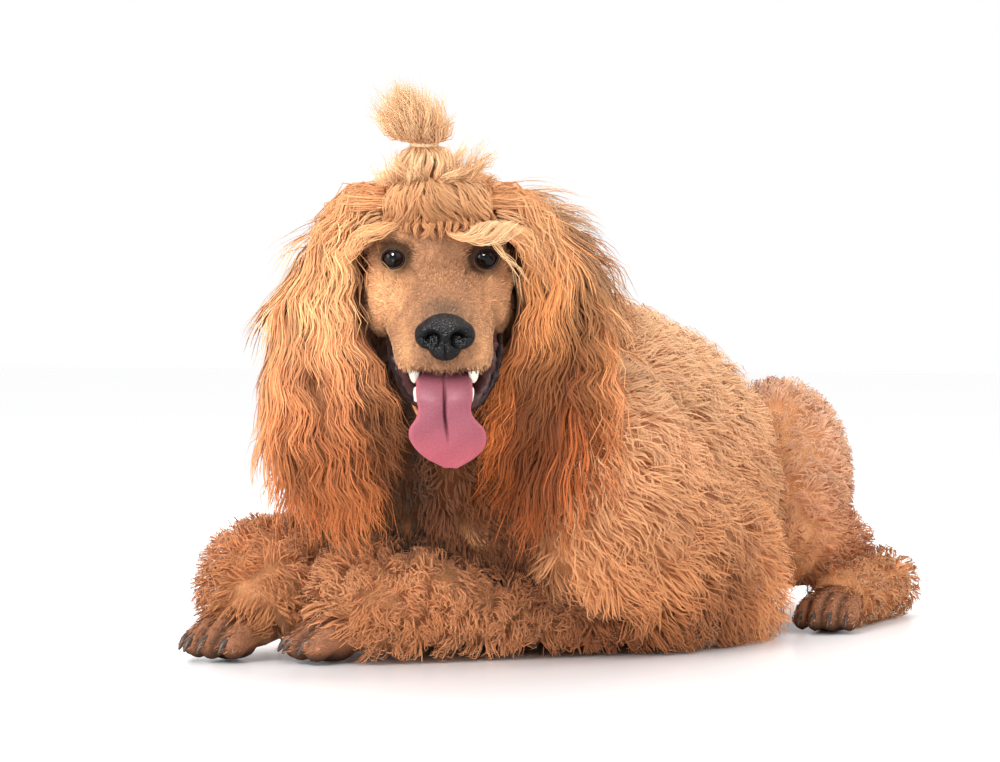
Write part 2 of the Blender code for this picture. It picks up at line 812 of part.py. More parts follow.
def make_ear(side):
    """Rows of long locks hang from the leather, the lowest row reaching the tips of the hair."""
    shape = lambda bm, share: shape_ear(bm, side, share)
    core, outer = both_forms("ear_" + side, shape, 0.7 * CM, 150, EAR_FRAME)
    coat = Coat(core, outer)
    dice = random.Random(31 + SIDES[side])
    locks = []
    for height, count, spread, length, faces in EAR_LOCK_ROWS:
        for k in range(count):
            across = -1 + 2 * k / (count - 1)
            for face in faces:
                middle = 8.1 - 0.25 * max(0.0, height + 2.0) + across * spread * 0.75
                x, reach = middle * SIDES[side], length * dice.uniform(0.9, 1.08)
                flare = (across * 1.3 - 0.4) * SIDES[side]
                path = [
                    (x, 2.8 + face * 0.2, height),
                    (x + flare * 0.35, 2.6 + face * 1.3, height - reach * 0.30),
                    (x + flare * 0.85 + 0.35 * face, 2.1 + face * 1.5, height - reach * 0.66),
                    (x + flare * 1.0, 1.5 + face * 0.9, height - reach),
                ]
                path = [EAR_FRAME @ cm(p) for p in path]
                depths = (EAR_LOCK_CORE, EAR_LOCK_CORE * 0.9, EAR_LOCK_CORE * 0.1)
                path = path[:1] + [held_inside(coat.outer, p, depth) for p, depth in zip(path[1:], depths)]
                front = (EAR_FRAME.to_3x3() @ Vector((0, face, 0))).normalized()
                locks.append(lock(path, 3.3 * CM, 2.2 * EAR_LOCK_CORE, front))
    return fuse(core, locks)


BAND_LOWER = (-0.9, 1.6, 4.8)
BAND_UPPER = (-1.0, 1.9, 7.6)
TUFT_TOP = 12.1
TUFT_LOCKS = 6
CROWN_LOCKS = 10


def make_topknot():
    """Hair drawn up from the brow into two bands, a puff between them and a loose tuft above."""
    bm = bmesh.new()
    add_chain(bm, (((0, 0.6, 2.6), (3.7, 1.5, 1.9)),))
    add_chain(bm, (((-0.2, 2.2, 3.3), (3.75, 2.25, 1.5)),))
    add_chain(bm, (((0, 5.5, 2.6), (3.75, 3.45, 2.4)),))
    add_chain(bm, ((BAND_LOWER, 1.2), ((-0.95, 1.75, 6.2), (1.65, 1.65, 1.1)), (BAND_UPPER, 0.9)))
    add_chain(bm, ((BAND_UPPER, 0.9), ((-1.5, 2.2, 9.3), (1.2, 1.12, 1.3))))
    core = melt(bm, "topknot", 0.35 * CM, 150, 3, HEAD_FRAME)
    dice = random.Random(41)
    locks = []
    for k in range(TUFT_LOCKS):
        turn = math.tau * k / TUFT_LOCKS
        lean = Vector((math.cos(turn), math.sin(turn), 0))
        base = Vector(BAND_UPPER) + lean * 0.3 + Vector((0, 0, 0.2))
        top = Vector((-1.7, 2.2, TUFT_TOP - 0.9 * abs(math.cos(turn)))) + lean * dice.uniform(1.7, 2.4)
        middle = base.lerp(top, 0.5) + lean * 0.7
        path = [HEAD_FRAME @ cm(p) for p in (base, base.lerp(middle, 0.6), middle.lerp(top, 0.4), top)]
        locks.append(lock(path, 1.7 * CM, 0.9 * CM, (HEAD_FRAME.to_3x3() @ lean).normalized()))
    for k in range(CROWN_LOCKS):
        angle = math.tau * k / CROWN_LOCKS
        out = Vector((math.sin(angle), -math.cos(angle), 0))
        reach = Vector((5.2, 3.5, 0)) if out.y < 0 else Vector((6.2, 11.0, 0))
        drop = 0.0 if out.y < 0 else 3.0
        points = []
        for share, height in ((0.3, 4.2), (0.66, 4.5), (0.98, 3.2 - drop / 2), (1.0, 1.8 - drop)):
            points.append(Vector((-0.3 + out.x * reach.x * share, 1.4 + out.y * reach.y * share, height)))
        path = [HEAD_FRAME @ cm(p) for p in points]
        up = (HEAD_FRAME.to_3x3() @ (out + Vector((0, 0, 0.8)))).normalized()
        locks.append(lock(path, 4.2 * CM, 1.2 * CM, up))
    return fuse(core, locks)


def make_band(name, centre, radius):
    bm = bmesh.new()
    ring, section, thick = 12, 4, 0.24
    rows = []
    for i in range(ring):
        a = math.tau * i / ring
        rows.append(
            [
                bm.verts.new(
                    cm(centre)
                    + cm(
                        (
                            math.cos(a) * (radius + thick * math.cos(b)),
                            math.sin(a) * (radius + thick * math.cos(b)),
                            thick * math.sin(b),
                        )
                    )
                )
                for b in (math.tau * j / section for j in range(section))
            ]
        )
    for i in range(ring):
        for j in range(section):
            k, m = (i + 1) % ring, (j + 1) % section
            bm.faces.new((rows[i][j], rows[k][j], rows[k][m], rows[i][m]))
    bmesh.ops.transform(bm, matrix=HEAD_FRAME, verts=bm.verts[:])
    return object_of(bm, name)


# Legs


def shape_foreleg(bm, side, share):
    """Forearm and wrist, with the elbow buried in the trunk's coat."""
    elbow, carpus = Vector(FORE_ELBOW[side]), Vector(FORE_CARPUS[side])
    middle = elbow.lerp(carpus, 0.5) + Vector((0, 0, 0.3))
    grow = COAT_FORELEG / CM * share
    add_chain(bm, ((elbow, 3.0 + grow), (middle, 2.8 + grow), (carpus, 2.6 + grow)))


def make_foreleg(side, covered):
    shape = lambda bm, share: shape_foreleg(bm, side, share)
    core, outer = both_forms("foreleg_" + side, shape, 0.9 * CM, 150)
    roots = roots_on(core, 4.0 * CM, 51 + SIDES[side], covered)
    return fuse(core, curl_clumps(roots, Coat(core, outer), 2.8 * CM, 52))


def shape_hindleg(bm, side, share):
    """Thigh and shank, folded against the flank."""
    mirrored = SIDES[side]
    grow = COAT_HIND * share
    add_chain(
        bm,
        (
            ((7.0, 46.0, 11.0), (4.4, 5.4, 6.9)),
            ((9.2, 39.5, 10.2), (4.2, 5.2, 6.9)),
            ((11.2, 34.0, 7.4), (3.0, 3.4, 3.8)),
        ),
        grow,
        mirrored=mirrored,
    )
    add_chain(bm, (((11.2, 34.0, 7.0), 3.2), ((12.2, 43.0, 5.6), (2.2, 3.0, 2.4))), grow, mirrored=mirrored)


def make_hindleg(side, covered):
    shape = lambda bm, share: shape_hindleg(bm, side, share)
    core, outer = both_forms("hindleg_" + side, shape, 0.9 * CM, 140)
    roots = roots_on(core, 5.2 * CM, 61 + SIDES[side], covered)
    return fuse(core, curl_clumps(roots, Coat(core, outer), 3.6 * CM, 62))


def shape_hindfoot(bm, side, share):
    """Hock and pastern on the floor."""
    hock, ankle = Vector(HIND_HOCK[side]), Vector(HIND_ANKLE[side])
    add_chain(bm, ((hock, 1.9), (hock.lerp(ankle, 0.5), 1.7), (ankle, 1.6)), COAT_FOOT * share)


def make_hindfoot(side, covered):
    shape = lambda bm, share: shape_hindfoot(bm, side, share)
    core, outer = both_forms("hindfoot_" + side, shape, 0.6 * CM, 90)
    roots = roots_on(core, 3.9 * CM, 71 + SIDES[side], covered)
    return fuse(core, curl_clumps(roots, Coat(core, outer), 2.5 * CM, 72))


def paw_frame(wrist, heading, scale):
    """Paw frame: origin on the floor below the wrist, -Y towards the toes."""
    turn = Matrix.Rotation(-math.radians(heading), 4, "Z")
    return Matrix.Translation((wrist[0] * CM, wrist[1] * CM, 0)) @ turn @ Matrix.Scale(scale, 4)


def toe_lines(length):
    """Knuckle, middle and tip of the four toes in the paw's frame, from one side to the other."""
    lines = []
    for slot in (-1.5, -0.5, 0.5, 1.5):
        short = 0.75 * (abs(slot) - 0.5)
        lines.append(
            (
                (slot * 1.15, -length + 4.0 + short, 2.75 - 0.25 * abs(slot)),
                (slot * 1.38, -length + 2.0 + short, 2.25 - 0.2 * abs(slot)),
                (slot * 1.45, -length + 0.9 + short, 1.15),
            )
        )
    return lines


def make_paw(name, wrist, heading, length, scale=1.0):
    bm = bmesh.new()
    add_chain(bm, (((0, 0.4, 3.0), (2.0, 2.0, 1.9)), ((0, -length + 5.0, 2.2), (2.5, 2.0, 1.5))))
    add_chain(bm, (((0, -length + 3.2, 0.9), (2.0, 1.7, 0.9)),))
    for knuckle, middle, tip in toe_lines(length):
        toe = ((knuckle, (0.95, 1.1, 1.0)), (middle, (0.9, 1.0, 1.0)), (tip, (0.86, 0.95, 0.95)))
        add_chain(bm, toe, steps=3)
    return melt(bm, name, 0.26 * CM, 270, 2, paw_frame(wrist, heading, scale))


def make_claws(name, wrist, heading, length, scale=1.0):
    """Four curved claws, one object each, rooted in the toe tips."""
    claws = []
    for number, (_, middle, tip) in enumerate(toe_lines(length), 1):
        bm = bmesh.new()
        x = tip[0]
        spine = (
            (tip[1] - 0.25, 1.85, 0.36),
            (tip[1] - 0.85, 1.75, 0.40),
            (tip[1] - 1.35, 1.35, 0.30),
            (tip[1] - 1.65, 0.85, 0.12),
        )
        rings = []
        for k, (y, z, size) in enumerate(spine):
            before, after = spine[max(k - 1, 0)], spine[min(k + 1, len(spine) - 1)]
            along = Vector((0, after[0] - before[0], after[1] - before[1])).normalized()
            up = Vector((1, 0, 0)).cross(along)
            rings.append(
                [
                    cm((x, y, z)) + (Vector((1, 0, 0)) * math.cos(a) * 0.8 + up * math.sin(a)) * size * CM
                    for a in (math.tau * i / 5 for i in range(5))
                ]
            )
        add_loft(bm, rings)
        bmesh.ops.transform(bm, matrix=paw_frame(wrist, heading, scale), verts=bm.verts[:])
        claws.append(object_of(bm, f"claw_{name}_{number}"))
    return claws


POMPON_DEPTH = 1.0 * CM


def shape_tail(bm, share):
    """The clipped tail laid to the right, with a pompon on its end."""
    add_chain(bm, (((0, 52.0, 11.5), 2.1), ((-3.0, 58.0, 9.4), 1.9), ((-8.0, 61.0, 7.0), 2.1)))
    add_chain(bm, (((-10.0, 61.5, 5.9), 2.0),), COAT_TAIL * share)


def make_tail(covered):
    core, outer = both_forms("tail", shape_tail, 0.8 * CM, 150)
    coat = Coat(core, outer)
    roots = [root for root in roots_on(core, 3.8 * CM, 81, covered) if coat.depth(*root) > POMPON_DEPTH]
    return fuse(core, curl_clumps(roots, coat, 2.7 * CM, 82))


def recentre(nodes):
    """Moves the whole dog so that the middle of its box stands on the origin."""
    corners = [v.co for obj in nodes for v in obj.data.vertices]
    middle_x = (min(p.x for p in corners) + max(p.x for p in corners)) / 2
    middle_y = (min(p.y for p in corners) + max(p.y for p in corners)) / 2
    shift = Matrix.Translation((-middle_x, -middle_y, -min(p.z for p in corners)))
    for obj in nodes:
        obj.data.transform(shift)


def build_dog():
    coat = material("apricot_coat", APRICOT, 0.9)
    mane = material("cream_coat", CREAM, 0.9)
    rust = material("rust_coat", RUST, 0.9)
    face = material("shaved_face", SHAVED, 0.8)
    pads = material("shaved_paw", PAW_BROWN, 0.7)
    horn = material("claw_horn", (0.09, 0.08, 0.08), 0.35)
    black = material("nose_leather", (0.012, 0.012, 0.014), 0.35)
    wet = material("eye_wet", (0.02, 0.012, 0.008), 0.08)
    pink = material("tongue_pink", (0.55, 0.16, 0.22), 0.35)
    enamel = material("tooth_enamel", (0.85, 0.80, 0.70), 0.25)
    elastic = material("hair_elastic", (0.75, 0.55, 0.33), 0.5)

    eyes = [finish(make_eye(side), wet) for side in SIDES]
    nose = finish(make_nose(), black)
    teeth = []
    for side, sign in SIDES.items():
        upper = ((2.0 * sign, -8.6, -4.6), (1.95 * sign, -8.9, -6.7))
        lower = ((1.35 * sign, -8.2, -8.0), (1.75 * sign, -8.7, -7.0))
        teeth.append(make_tooth("tooth_upper_" + side, *upper, 0.42))
        teeth.append(make_tooth("tooth_lower_" + side, *lower, 0.3))
    for tooth in teeth:
        finish(tooth, enamel)
    head = cut_clear(make_head(), eyes + [nose] + teeth)
    jaw = cut_clear(make_jaw(), [head] + teeth)
    tongue = cut_clear(make_tongue(), [head, jaw] + teeth)
    bands = [
        finish(make_band("hair_band_lower", BAND_LOWER, 1.5), elastic),
        finish(make_band("hair_band_upper", BAND_UPPER, 1.1), elastic),
    ]
    topknot = cut_clear(make_topknot(), [head] + bands)
    mouth = [head, jaw, tongue, nose]

    claws, paws = [], []
    for side in SIDES:
        fore = (FORE_CARPUS[side], FORE_HEADING[side], 6.6)
        hind = (HIND_ANKLE[side], HIND_HEADING[side], 7.2, 0.86)
        fore_claws = [rest_on_floor(claw) for claw in make_claws("fore_" + side, *fore)]
        hind_claws = [rest_on_floor(claw) for claw in make_claws("hind_" + side, *hind)]
        forepaw = rest_on_floor(cut_clear(make_paw("forepaw_" + side, *fore), fore_claws + paws))
        hindpaw = rest_on_floor(cut_clear(make_paw("hindpaw_" + side, *hind), hind_claws))
        claws += fore_claws + hind_claws
        paws += [forepaw, hindpaw]

    ears = []
    for side in SIDES:
        ears.append(cut_clear(make_ear(side), mouth + [topknot] + ears))
    hung = [tree_of(obj) for obj in mouth + [topknot] + ears]
    beneath = [hidden_tree(shape_neck)] + [
        hidden_tree(shape, side) for side in SIDES for shape in (shape_foreleg, shape_hindleg)
    ]
    torso = rest_on_floor(cut_clear(make_torso(hung + beneath), ears))
    body = tree_of(torso)
    neck = make_neck(hung + [body])
    neck = cut_clear(neck, mouth + [topknot] + ears + [torso])

    forelegs, hindfeet, hindlegs = [], [], []
    for side in SIDES:
        beside = [body, tree_of(neck)] + [tree_of(obj) for obj in paws + forelegs]
        leg = make_foreleg(side, beside)
        forelegs.append(rest_on_floor(cut_clear(leg, paws + forelegs + claws[:4] + [torso, neck])))
        hindfoot = rest_on_floor(cut_clear(make_hindfoot(side, beside), paws))
        hindfeet.append(hindfoot)
        hindleg = make_hindleg(side, beside + [tree_of(hindfoot)])
        hindlegs.append(rest_on_floor(cut_clear(hindleg, [hindfoot, torso] + paws)))
    tail = rest_on_floor(cut_clear(make_tail([body]), [torso] + hindlegs + hindfeet))

    finish(head, face)
    finish(jaw, face)
    finish(tongue, pink)
    finish(topknot, mane)
    finish(neck, mane)
    finish(torso, coat)
    finish(tail, rust)
    for obj in ears:
        finish(obj, rust)
    for obj in forelegs + hindfeet + hindlegs:
        finish(obj, coat)
    for obj in paws:
        finish(obj, pads)
    for obj in claws:
        finish(obj, horn)
    recentre([obj for obj in bpy.context.scene.objects if obj.type == "MESH"])


clear_scene()
build_dog()
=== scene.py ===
"""Looks of a standard poodle that lies on its chest: one skin, and a coat of tapered tufts over it.

Lengths in the tables are centimetres in the dog's own frame, with X to its left, Y towards its tail and Z up
from the floor. The head's frame starts between the eyes. The coat is made of closed, three-sided tufts that
taper to a point.
"""

import math
from types import SimpleNamespace

import bmesh
import bpy
import numpy as np
from mathutils import Matrix, Vector, kdtree


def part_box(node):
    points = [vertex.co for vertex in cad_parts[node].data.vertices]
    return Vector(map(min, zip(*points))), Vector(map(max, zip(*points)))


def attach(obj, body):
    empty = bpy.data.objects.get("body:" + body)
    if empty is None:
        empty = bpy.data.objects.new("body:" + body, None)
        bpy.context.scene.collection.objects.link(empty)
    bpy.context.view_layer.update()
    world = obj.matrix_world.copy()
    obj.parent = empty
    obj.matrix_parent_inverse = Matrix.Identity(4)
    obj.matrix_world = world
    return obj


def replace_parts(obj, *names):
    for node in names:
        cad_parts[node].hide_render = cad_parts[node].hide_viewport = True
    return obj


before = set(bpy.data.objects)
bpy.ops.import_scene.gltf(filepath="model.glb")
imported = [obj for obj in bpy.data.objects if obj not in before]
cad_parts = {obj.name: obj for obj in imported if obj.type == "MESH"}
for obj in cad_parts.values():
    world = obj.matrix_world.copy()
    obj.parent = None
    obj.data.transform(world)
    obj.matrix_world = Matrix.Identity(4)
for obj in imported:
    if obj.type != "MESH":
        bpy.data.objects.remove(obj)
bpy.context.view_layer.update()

CM = 0.01
SIDES = {"left": 1, "right": -1}

# The head's own frame, as in the solids
HEAD_AT = Vector((1.8, -7.2, 28.4)) * CM
HEAD_YAW = math.radians(27)
HEAD_PITCH = math.radians(12)
EYE_AT = (3.1, 0.45, 0.0)
EYE_RADIUS = 1.12
EYE_TURN = math.radians(14)


def middle_of(node):
    """Middle of a node's box."""
    low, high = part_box(node)
    return (Vector(low) + Vector(high)) / 2


HEAD_TURN = Matrix.Rotation(HEAD_YAW, 4, "Z") @ Matrix.Rotation(HEAD_PITCH, 4, "X")
LEFT_EYE = Matrix.Translation(HEAD_AT) @ HEAD_TURN @ (Vector(EYE_AT) * CM)
SHIFT = middle_of("eye_left") - LEFT_EYE

TRUNK = Matrix.Translation(SHIFT)
HEAD_LEAN = Matrix(((1, -0.018, 0, 0), (0, 1, 0, 0), (0, 0, 1, 0), (0, 0, 0, 1)))
HEAD = Matrix.Translation(SHIFT + HEAD_AT) @ HEAD_TURN @ HEAD_LEAN
EARS = Matrix.Translation(SHIFT + HEAD_AT) @ Matrix.Rotation(HEAD_YAW, 4, "Z")


# Small tools


def place(matrix, points):
    """Points in centimetres of a frame, as an array in metres."""
    m = np.array(matrix)
    p = np.asarray(points, dtype=float) * CM
    return p @ m[:3, :3].T + m[:3, 3]


def local(matrix, points):
    """World points as centimetres of a frame."""
    m = np.array(matrix.inverted())
    p = np.asarray(points, dtype=float)
    return (p @ m[:3, :3].T + m[:3, 3]) / CM


def spot(matrix, point):
    """One point in centimetres of a frame, in metres."""
    return place(matrix, [point])[0]


def unit(vectors):
    size = np.linalg.norm(vectors, axis=-1, keepdims=True)
    return vectors / np.maximum(size, 1e-9)


def smoothstep(low, high, value):
    t = np.clip((value - low) / (high - low), 0.0, 1.0)
    return t * t * (3 - 2 * t)


def hill(*terms):
    """A smooth bump: 1 at the middle of every (value, middle, reach), falling to 0 beyond its reach."""
    return np.exp(-sum(((value - middle) / reach) ** 2 for value, middle, reach in terms))


def mix(first, second, share):
    """A colour, or one per point, turned into a second one by a share per point."""
    share = np.asarray(share)[..., None]
    return np.asarray(first) * (1 - share) + np.asarray(second) * share


def turned(matrix, vector):
    """A direction given in a frame, as a world array."""
    return np.array(matrix)[:3, :3] @ np.array(vector, dtype=float)


def waves(points, scale, seed):
    """Smooth pseudo-random values from -1 to 1 over space, with features about scale metres across."""
    dice = np.random.default_rng(seed)
    total = np.zeros(len(points))
    for _ in range(6):
        way = unit(dice.normal(size=3))
        total += np.sin(points @ way * (math.tau / scale) * dice.uniform(0.6, 1.5) + dice.uniform(0, 6.28))
    return total / 3.2


def link(mesh, name):
    obj = bpy.data.objects.new(name, mesh)
    bpy.context.scene.collection.objects.link(obj)
    return obj


def object_from(bm, name):
    """A scene object made of a bmesh, which is freed."""
    mesh = bpy.data.meshes.new(name)
    bm.to_mesh(mesh)
    bm.free()
    return link(mesh, name)


def ringed(name, rows, closed=False):
    """A surface through rings of points. Its ends are capped, or joined to each other where it is closed."""
    bm = bmesh.new()
    rows = [[bm.verts.new(point) for point in row] for row in rows]
    pairs = list(zip(rows, rows[1:]))
    if closed:
        pairs.append((rows[-1], rows[0]))
    else:
        bm.faces.new(rows[0][::-1])
        bm.faces.new(rows[-1])
    for first, second in pairs:
        for i in range(len(first)):
            j = (i + 1) % len(first)
            bm.faces.new((first[i], first[j], second[j], second[i]))
    bmesh.ops.recalc_face_normals(bm, faces=bm.faces[:])
    return object_from(bm, name)


def read(items, key, width, kind=float):
    """An attribute of every item of a mesh, as rows of the given width."""
    found = np.empty(len(items) * width, dtype=kind)
    items.foreach_get(key, found)
    return found.reshape(-1, width)


def coords_of(mesh):
    return read(mesh.vertices, "co", 3)


def normals_of(mesh):
    return read(mesh.vertices, "normal", 3)


def put_coords(mesh, points):
    mesh.vertices.foreach_set("co", points.ravel())
    mesh.update()


def paint(mesh, colours):
    """Stores one linear colour per vertex in the attribute that the coat's materials read."""
    layer = mesh.color_attributes.new("Coat", "FLOAT_COLOR", "POINT")
    data = np.ones((len(mesh.vertices), 4))
    data[:, :3] = colours
    layer.data.foreach_set("color", data.ravel())


def bake_modifiers(obj):
    graph = bpy.context.evaluated_depsgraph_get()
    graph.update()
    made = bpy.data.meshes.new_from_object(obj.evaluated_get(graph), depsgraph=graph)
    obj.modifiers.clear()
    old = obj.data
    obj.data = made
    bpy.data.meshes.remove(old)


def joined(objects, name):
    """One object of several, with their materials kept."""
    bpy.ops.object.select_all(action="DESELECT")
    for obj in objects:
        obj.select_set(True)
    bpy.context.view_layer.objects.active = objects[0]
    bpy.ops.object.join()
    result = bpy.context.view_layer.objects.active
    result.name = name
    return result


# Balls: the flesh as ellipsoids strung along a few stations


def chain(stations, grow=0.0, matrix=TRUNK, turn=None, mirrored=1, steps=6):
    """Ellipsoids between stations of (centre, radii), as (centre, radii, axes) in the given frame."""
    axes = np.array(matrix)[:3, :3] @ (np.array(turn)[:3, :3] if turn else np.eye(3))
    ends = []
    for centre, radii in stations:
        size = (radii,) * 3 if isinstance(radii, (int, float)) else radii
        point = (centre[0] * mirrored, centre[1], centre[2])
        ends.append((spot(matrix, point), (np.array(size) + grow) * CM))
    if len(ends) == 1:
        return [(ends[0][0], ends[0][1], axes)]
    balls = []
    for (start, small), (end, large) in zip(ends, ends[1:]):
        for k in range(steps + 1):
            share = k / steps
            balls.append((start + (end - start) * share, small + (large - small) * share, axes))
    return balls


def apart(stations, mirrored=1):
    """Single ellipsoids of the head, not strung together."""
    balls = []
    for station in stations:
        balls += chain((station,), matrix=HEAD, mirrored=mirrored)
    return balls


def inside(balls, points):
    """How deep points lie inside a set of balls, in metres: positive inside, negative outside."""
    best = np.full(len(points), -1.0)
    for centre, radii, axes in balls:
        offset = (points - centre) @ axes / radii
        best = np.maximum(best, (1 - np.linalg.norm(offset, axis=1)) * radii.min())
    return best


def remeshed(obj, voxel, smoothing):
    remesh = obj.modifiers.new("Remesh", "REMESH")
    remesh.mode = "VOXEL"
    remesh.voxel_size = voxel * CM
    smooth = obj.modifiers.new("Smooth", "SMOOTH")
    smooth.factor = 0.5
    smooth.iterations = smoothing
    bake_modifiers(obj)


def melted(name, balls, voxel, smoothing):
    """Balls melted into one closed surface by a voxel remesh, then smoothed."""
    bm = bmesh.new()
    for centre, radii, axes in balls:
        spin = Matrix([list(row) + [0] for row in axes] + [[0, 0, 0, 1]])
        matrix = Matrix.Translation(centre) @ spin @ Matrix.Diagonal((*radii, 1.0))
        bmesh.ops.create_icosphere(bm, subdivisions=3, radius=1.0, matrix=matrix)
    obj = object_from(bm, name)
    remeshed(obj, voxel, smoothing)
    return obj


# Anatomy, with the same stations as the solids. SKIN_SHARE is how much of the coat's depth the skin takes.
SKIN_SHARE = 0.45
COAT_TRUNK = 4.4
COAT_HIND = 1.6
COAT_FORELEG = 2.6
COAT_NECK = 6.2
COAT_FOOT = 1.2
COAT_TAIL = 4.2

FORE_ELBOW = {"left": (9.2, 13.5, 4.4), "right": (-9.2, 15.0, 4.4)}
FORE_CARPUS = {"left": (-5.6, -2.1, 4.4), "right": (-14.2, -2.8, 5.0)}
FORE_HEADING = {"left": 48, "right": 20}
HIND_HOCK = {"left": (15.9, 46.5, 2.6), "right": (-15.9, 46.5, 2.6)}
HIND_ANKLE = {"left": (16.3, 35.0, 2.4), "right": (-16.3, 35.0, 2.4)}
HIND_HEADING = {"left": -4, "right": 4}
FORE_PAW_LENGTH = 6.6
HIND_PAW_LENGTH = 7.2
HIND_PAW_SCALE = 0.86


def trunk_fore():
    grow = COAT_TRUNK * SKIN_SHARE
    balls = chain(
        (
            ((0, 3.0, 14.5), (6.0, 4.5, 6.2)),
            ((0, 8.0, 12.6), (8.4, 6.0, 8.4)),
            ((0, 15.0, 12.2), (9.8, 7.0, 10.8)),
            ((0, 26.0, 11.2), (9.9, 7.0, 9.9)),
        ),
        grow,
    )
    for side in SIDES.values():
        shoulder = (
            ((7.0, 5.5, 12.5), (3.6, 4.6, 5.6)),
            ((8.6, 12.5, 7.4), (3.2, 4.0, 4.6)),
            ((10.0, 20.5, 5.4), (2.6, 3.6, 3.2)),
        )
        balls += chain(shoulder, grow, mirrored=side)
    return balls


def trunk_rear():
    stations = (
        ((0, 24.0, 10.6), (9.6, 7.0, 9.4)),
        ((0, 34.0, 10.2), (9.0, 7.0, 9.0)),
        ((0, 43.0, 9.4), (8.6, 7.0, 8.0)),
        ((0, 49.0, 8.8), (6.8, 5.4, 6.6)),
    )
    return chain(stations, COAT_HIND * SKIN_SHARE)


def neck():
    turn = Matrix.Rotation(HEAD_YAW, 4, "Z")
    stations = (
        ((-0.6, 5.5, 17.0), (6.6, 5.6, 5.0)),
        ((-1.6, 4.6, 22.0), (6.6, 4.8, 5.6)),
        ((-1.6, 3.6, 27.4), (6.4, 4.4, 2.2)),
    )
    lobe = (((-5.6, 1.5, 14.5), (4.4, 3.4, 5.0)),)
    return chain(stations, COAT_NECK * SKIN_SHARE, turn=turn) + chain(lobe, COAT_NECK * SKIN_SHARE)


def foreleg(side):
    elbow, carpus = Vector(FORE_ELBOW[side]), Vector(FORE_CARPUS[side])
    middle = elbow.lerp(carpus, 0.5) + Vector((0, 0, 0.3))
    return chain(((elbow, 3.0), (middle, 2.8), (carpus, 2.6)), COAT_FORELEG * SKIN_SHARE)


def hindleg(side):
    thigh = (
        ((7.0, 46.0, 11.0), (4.4, 5.4, 6.9)),
        ((9.2, 39.5, 10.2), (4.2, 5.2, 6.9)),
        ((11.2, 34.0, 7.4), (3.0, 3.4, 3.8)),
    )
    shank = (((11.2, 34.0, 7.0), (3.2, 3.2, 3.2)), ((12.2, 43.0, 5.6), (2.2, 3.0, 2.4)))
    grow, mirrored = COAT_HIND * SKIN_SHARE, SIDES[side]
    return chain(thigh, grow, mirrored=mirrored) + chain(shank, grow, mirrored=mirrored)


def hindfoot(side):
    hock, ankle = Vector(HIND_HOCK[side]), Vector(HIND_ANKLE[side])
    return chain(((hock, 1.9), (hock.lerp(ankle, 0.5), 1.7), (ankle, 1.6)), COAT_FOOT * SKIN_SHARE)


def tail():
    dock = (((0, 52.0, 11.5), 2.1), ((-3.0, 58.0, 9.4), 1.9), ((-8.0, 61.0, 7.0), 2.1))
    return chain(dock) + pompon()


def pompon():
    return chain((((-10.0, 61.5, 5.9), 2.0),), COAT_TAIL * SKIN_SHARE)


def ear_leather(side):
    stations = (
        ((6.6, 3.2, 1.6), (1.6, 1.4, 1.4)),
        ((8.1, 3.1, -3.0), (2.8, 1.4, 2.4)),
        ((8.2, 2.6, -8.5), (3.4, 1.3, 3.2)),
    )
    return chain(stations, matrix=EARS, mirrored=SIDES[side])


def skull():
    """Upper head: skull, brows, cheekbones, cheeks, muzzle and flews."""
    balls = apart(
        (
            ((0, 6.0, 0.0), (4.7, 6.4, 3.6)),
            ((0, 2.1, 0.6), (3.7, 3.4, 3.1)),
            ((0, 4.5, -2.4), (4.0, 6.0, 3.2)),
        )
    )
    muzzle = (
        ((0, 0.6, -1.9), (2.6, 2.4, 2.5)),
        ((0, -3.4, -2.8), (2.6, 2.6, 2.4)),
        ((0, -6.6, -3.2), (2.45, 2.4, 2.15)),
        ((0, -8.7, -3.5), (2.35, 1.9, 2.0)),
    )
    balls += chain(muzzle, matrix=HEAD, steps=10)
    flews = (
        ((2.35, -0.8, -4.0), (1.4, 2.4, 1.5)),
        ((2.0, -4.8, -4.5), (1.35, 2.6, 1.4)),
        ((1.65, -8.0, -4.75), (1.55, 2.3, 1.4)),
    )
    cheeks = (
        ((2.5, 0.5, 1.5), (1.8, 1.6, 1.1)),
        ((3.1, 0.55, -0.1), (1.75, 1.3, 1.6)),
        ((3.1, 0.5, 0.0), (1.36, 1.36, 1.36)),
        ((3.5, 1.6, -1.9), (1.6, 3.0, 1.6)),
        ((2.7, 0.4, -3.0), (2.1, 2.9, 2.1)),
        ((3.3, 3.6, -3.7), (1.9, 4.2, 2.7)),
    )
    balls += apart((((0, -8.9, -5.0), (1.5, 1.5, 1.15)),))
    for side in SIDES.values():
        balls += apart(cheeks, side)
        balls += chain(flews, matrix=HEAD, mirrored=side, steps=10)
    return balls


def chin():
    stations = (
        ((0, 3.0, -6.0), (3.4, 2.6, 1.7)),
        ((0, -2.0, -7.0), (3.0, 2.6, 1.3)),
        ((0, -5.2, -8.2), (2.4, 2.2, 1.1)),
        ((0, -7.4, -9.0), (1.9, 1.6, 0.9)),
    )
    return chain(stations, matrix=HEAD)


def paw_frame(wrist, heading, scale):
    turn = Matrix.Rotation(-math.radians(heading), 4, "Z")
    return TRUNK @ Matrix.Translation((wrist[0] * CM, wrist[1] * CM, 0)) @ turn @ Matrix.Scale(scale, 4)


def toe_lines(length):
    """Knuckle, middle and tip of the four toes."""
    lines = []
    for slot in (-1.5, -0.5, 0.5, 1.5):
        short = 0.75 * (abs(slot) - 0.5)
        knuckle = (slot * 1.15, -length + 4.0 + short, 2.75 - 0.25 * abs(slot))
        middle = (slot * 1.38, -length + 2.0 + short, 2.25 - 0.2 * abs(slot))
        lines.append((knuckle, middle, (slot * 1.45, -length + 0.9 + short, 1.15)))
    return lines


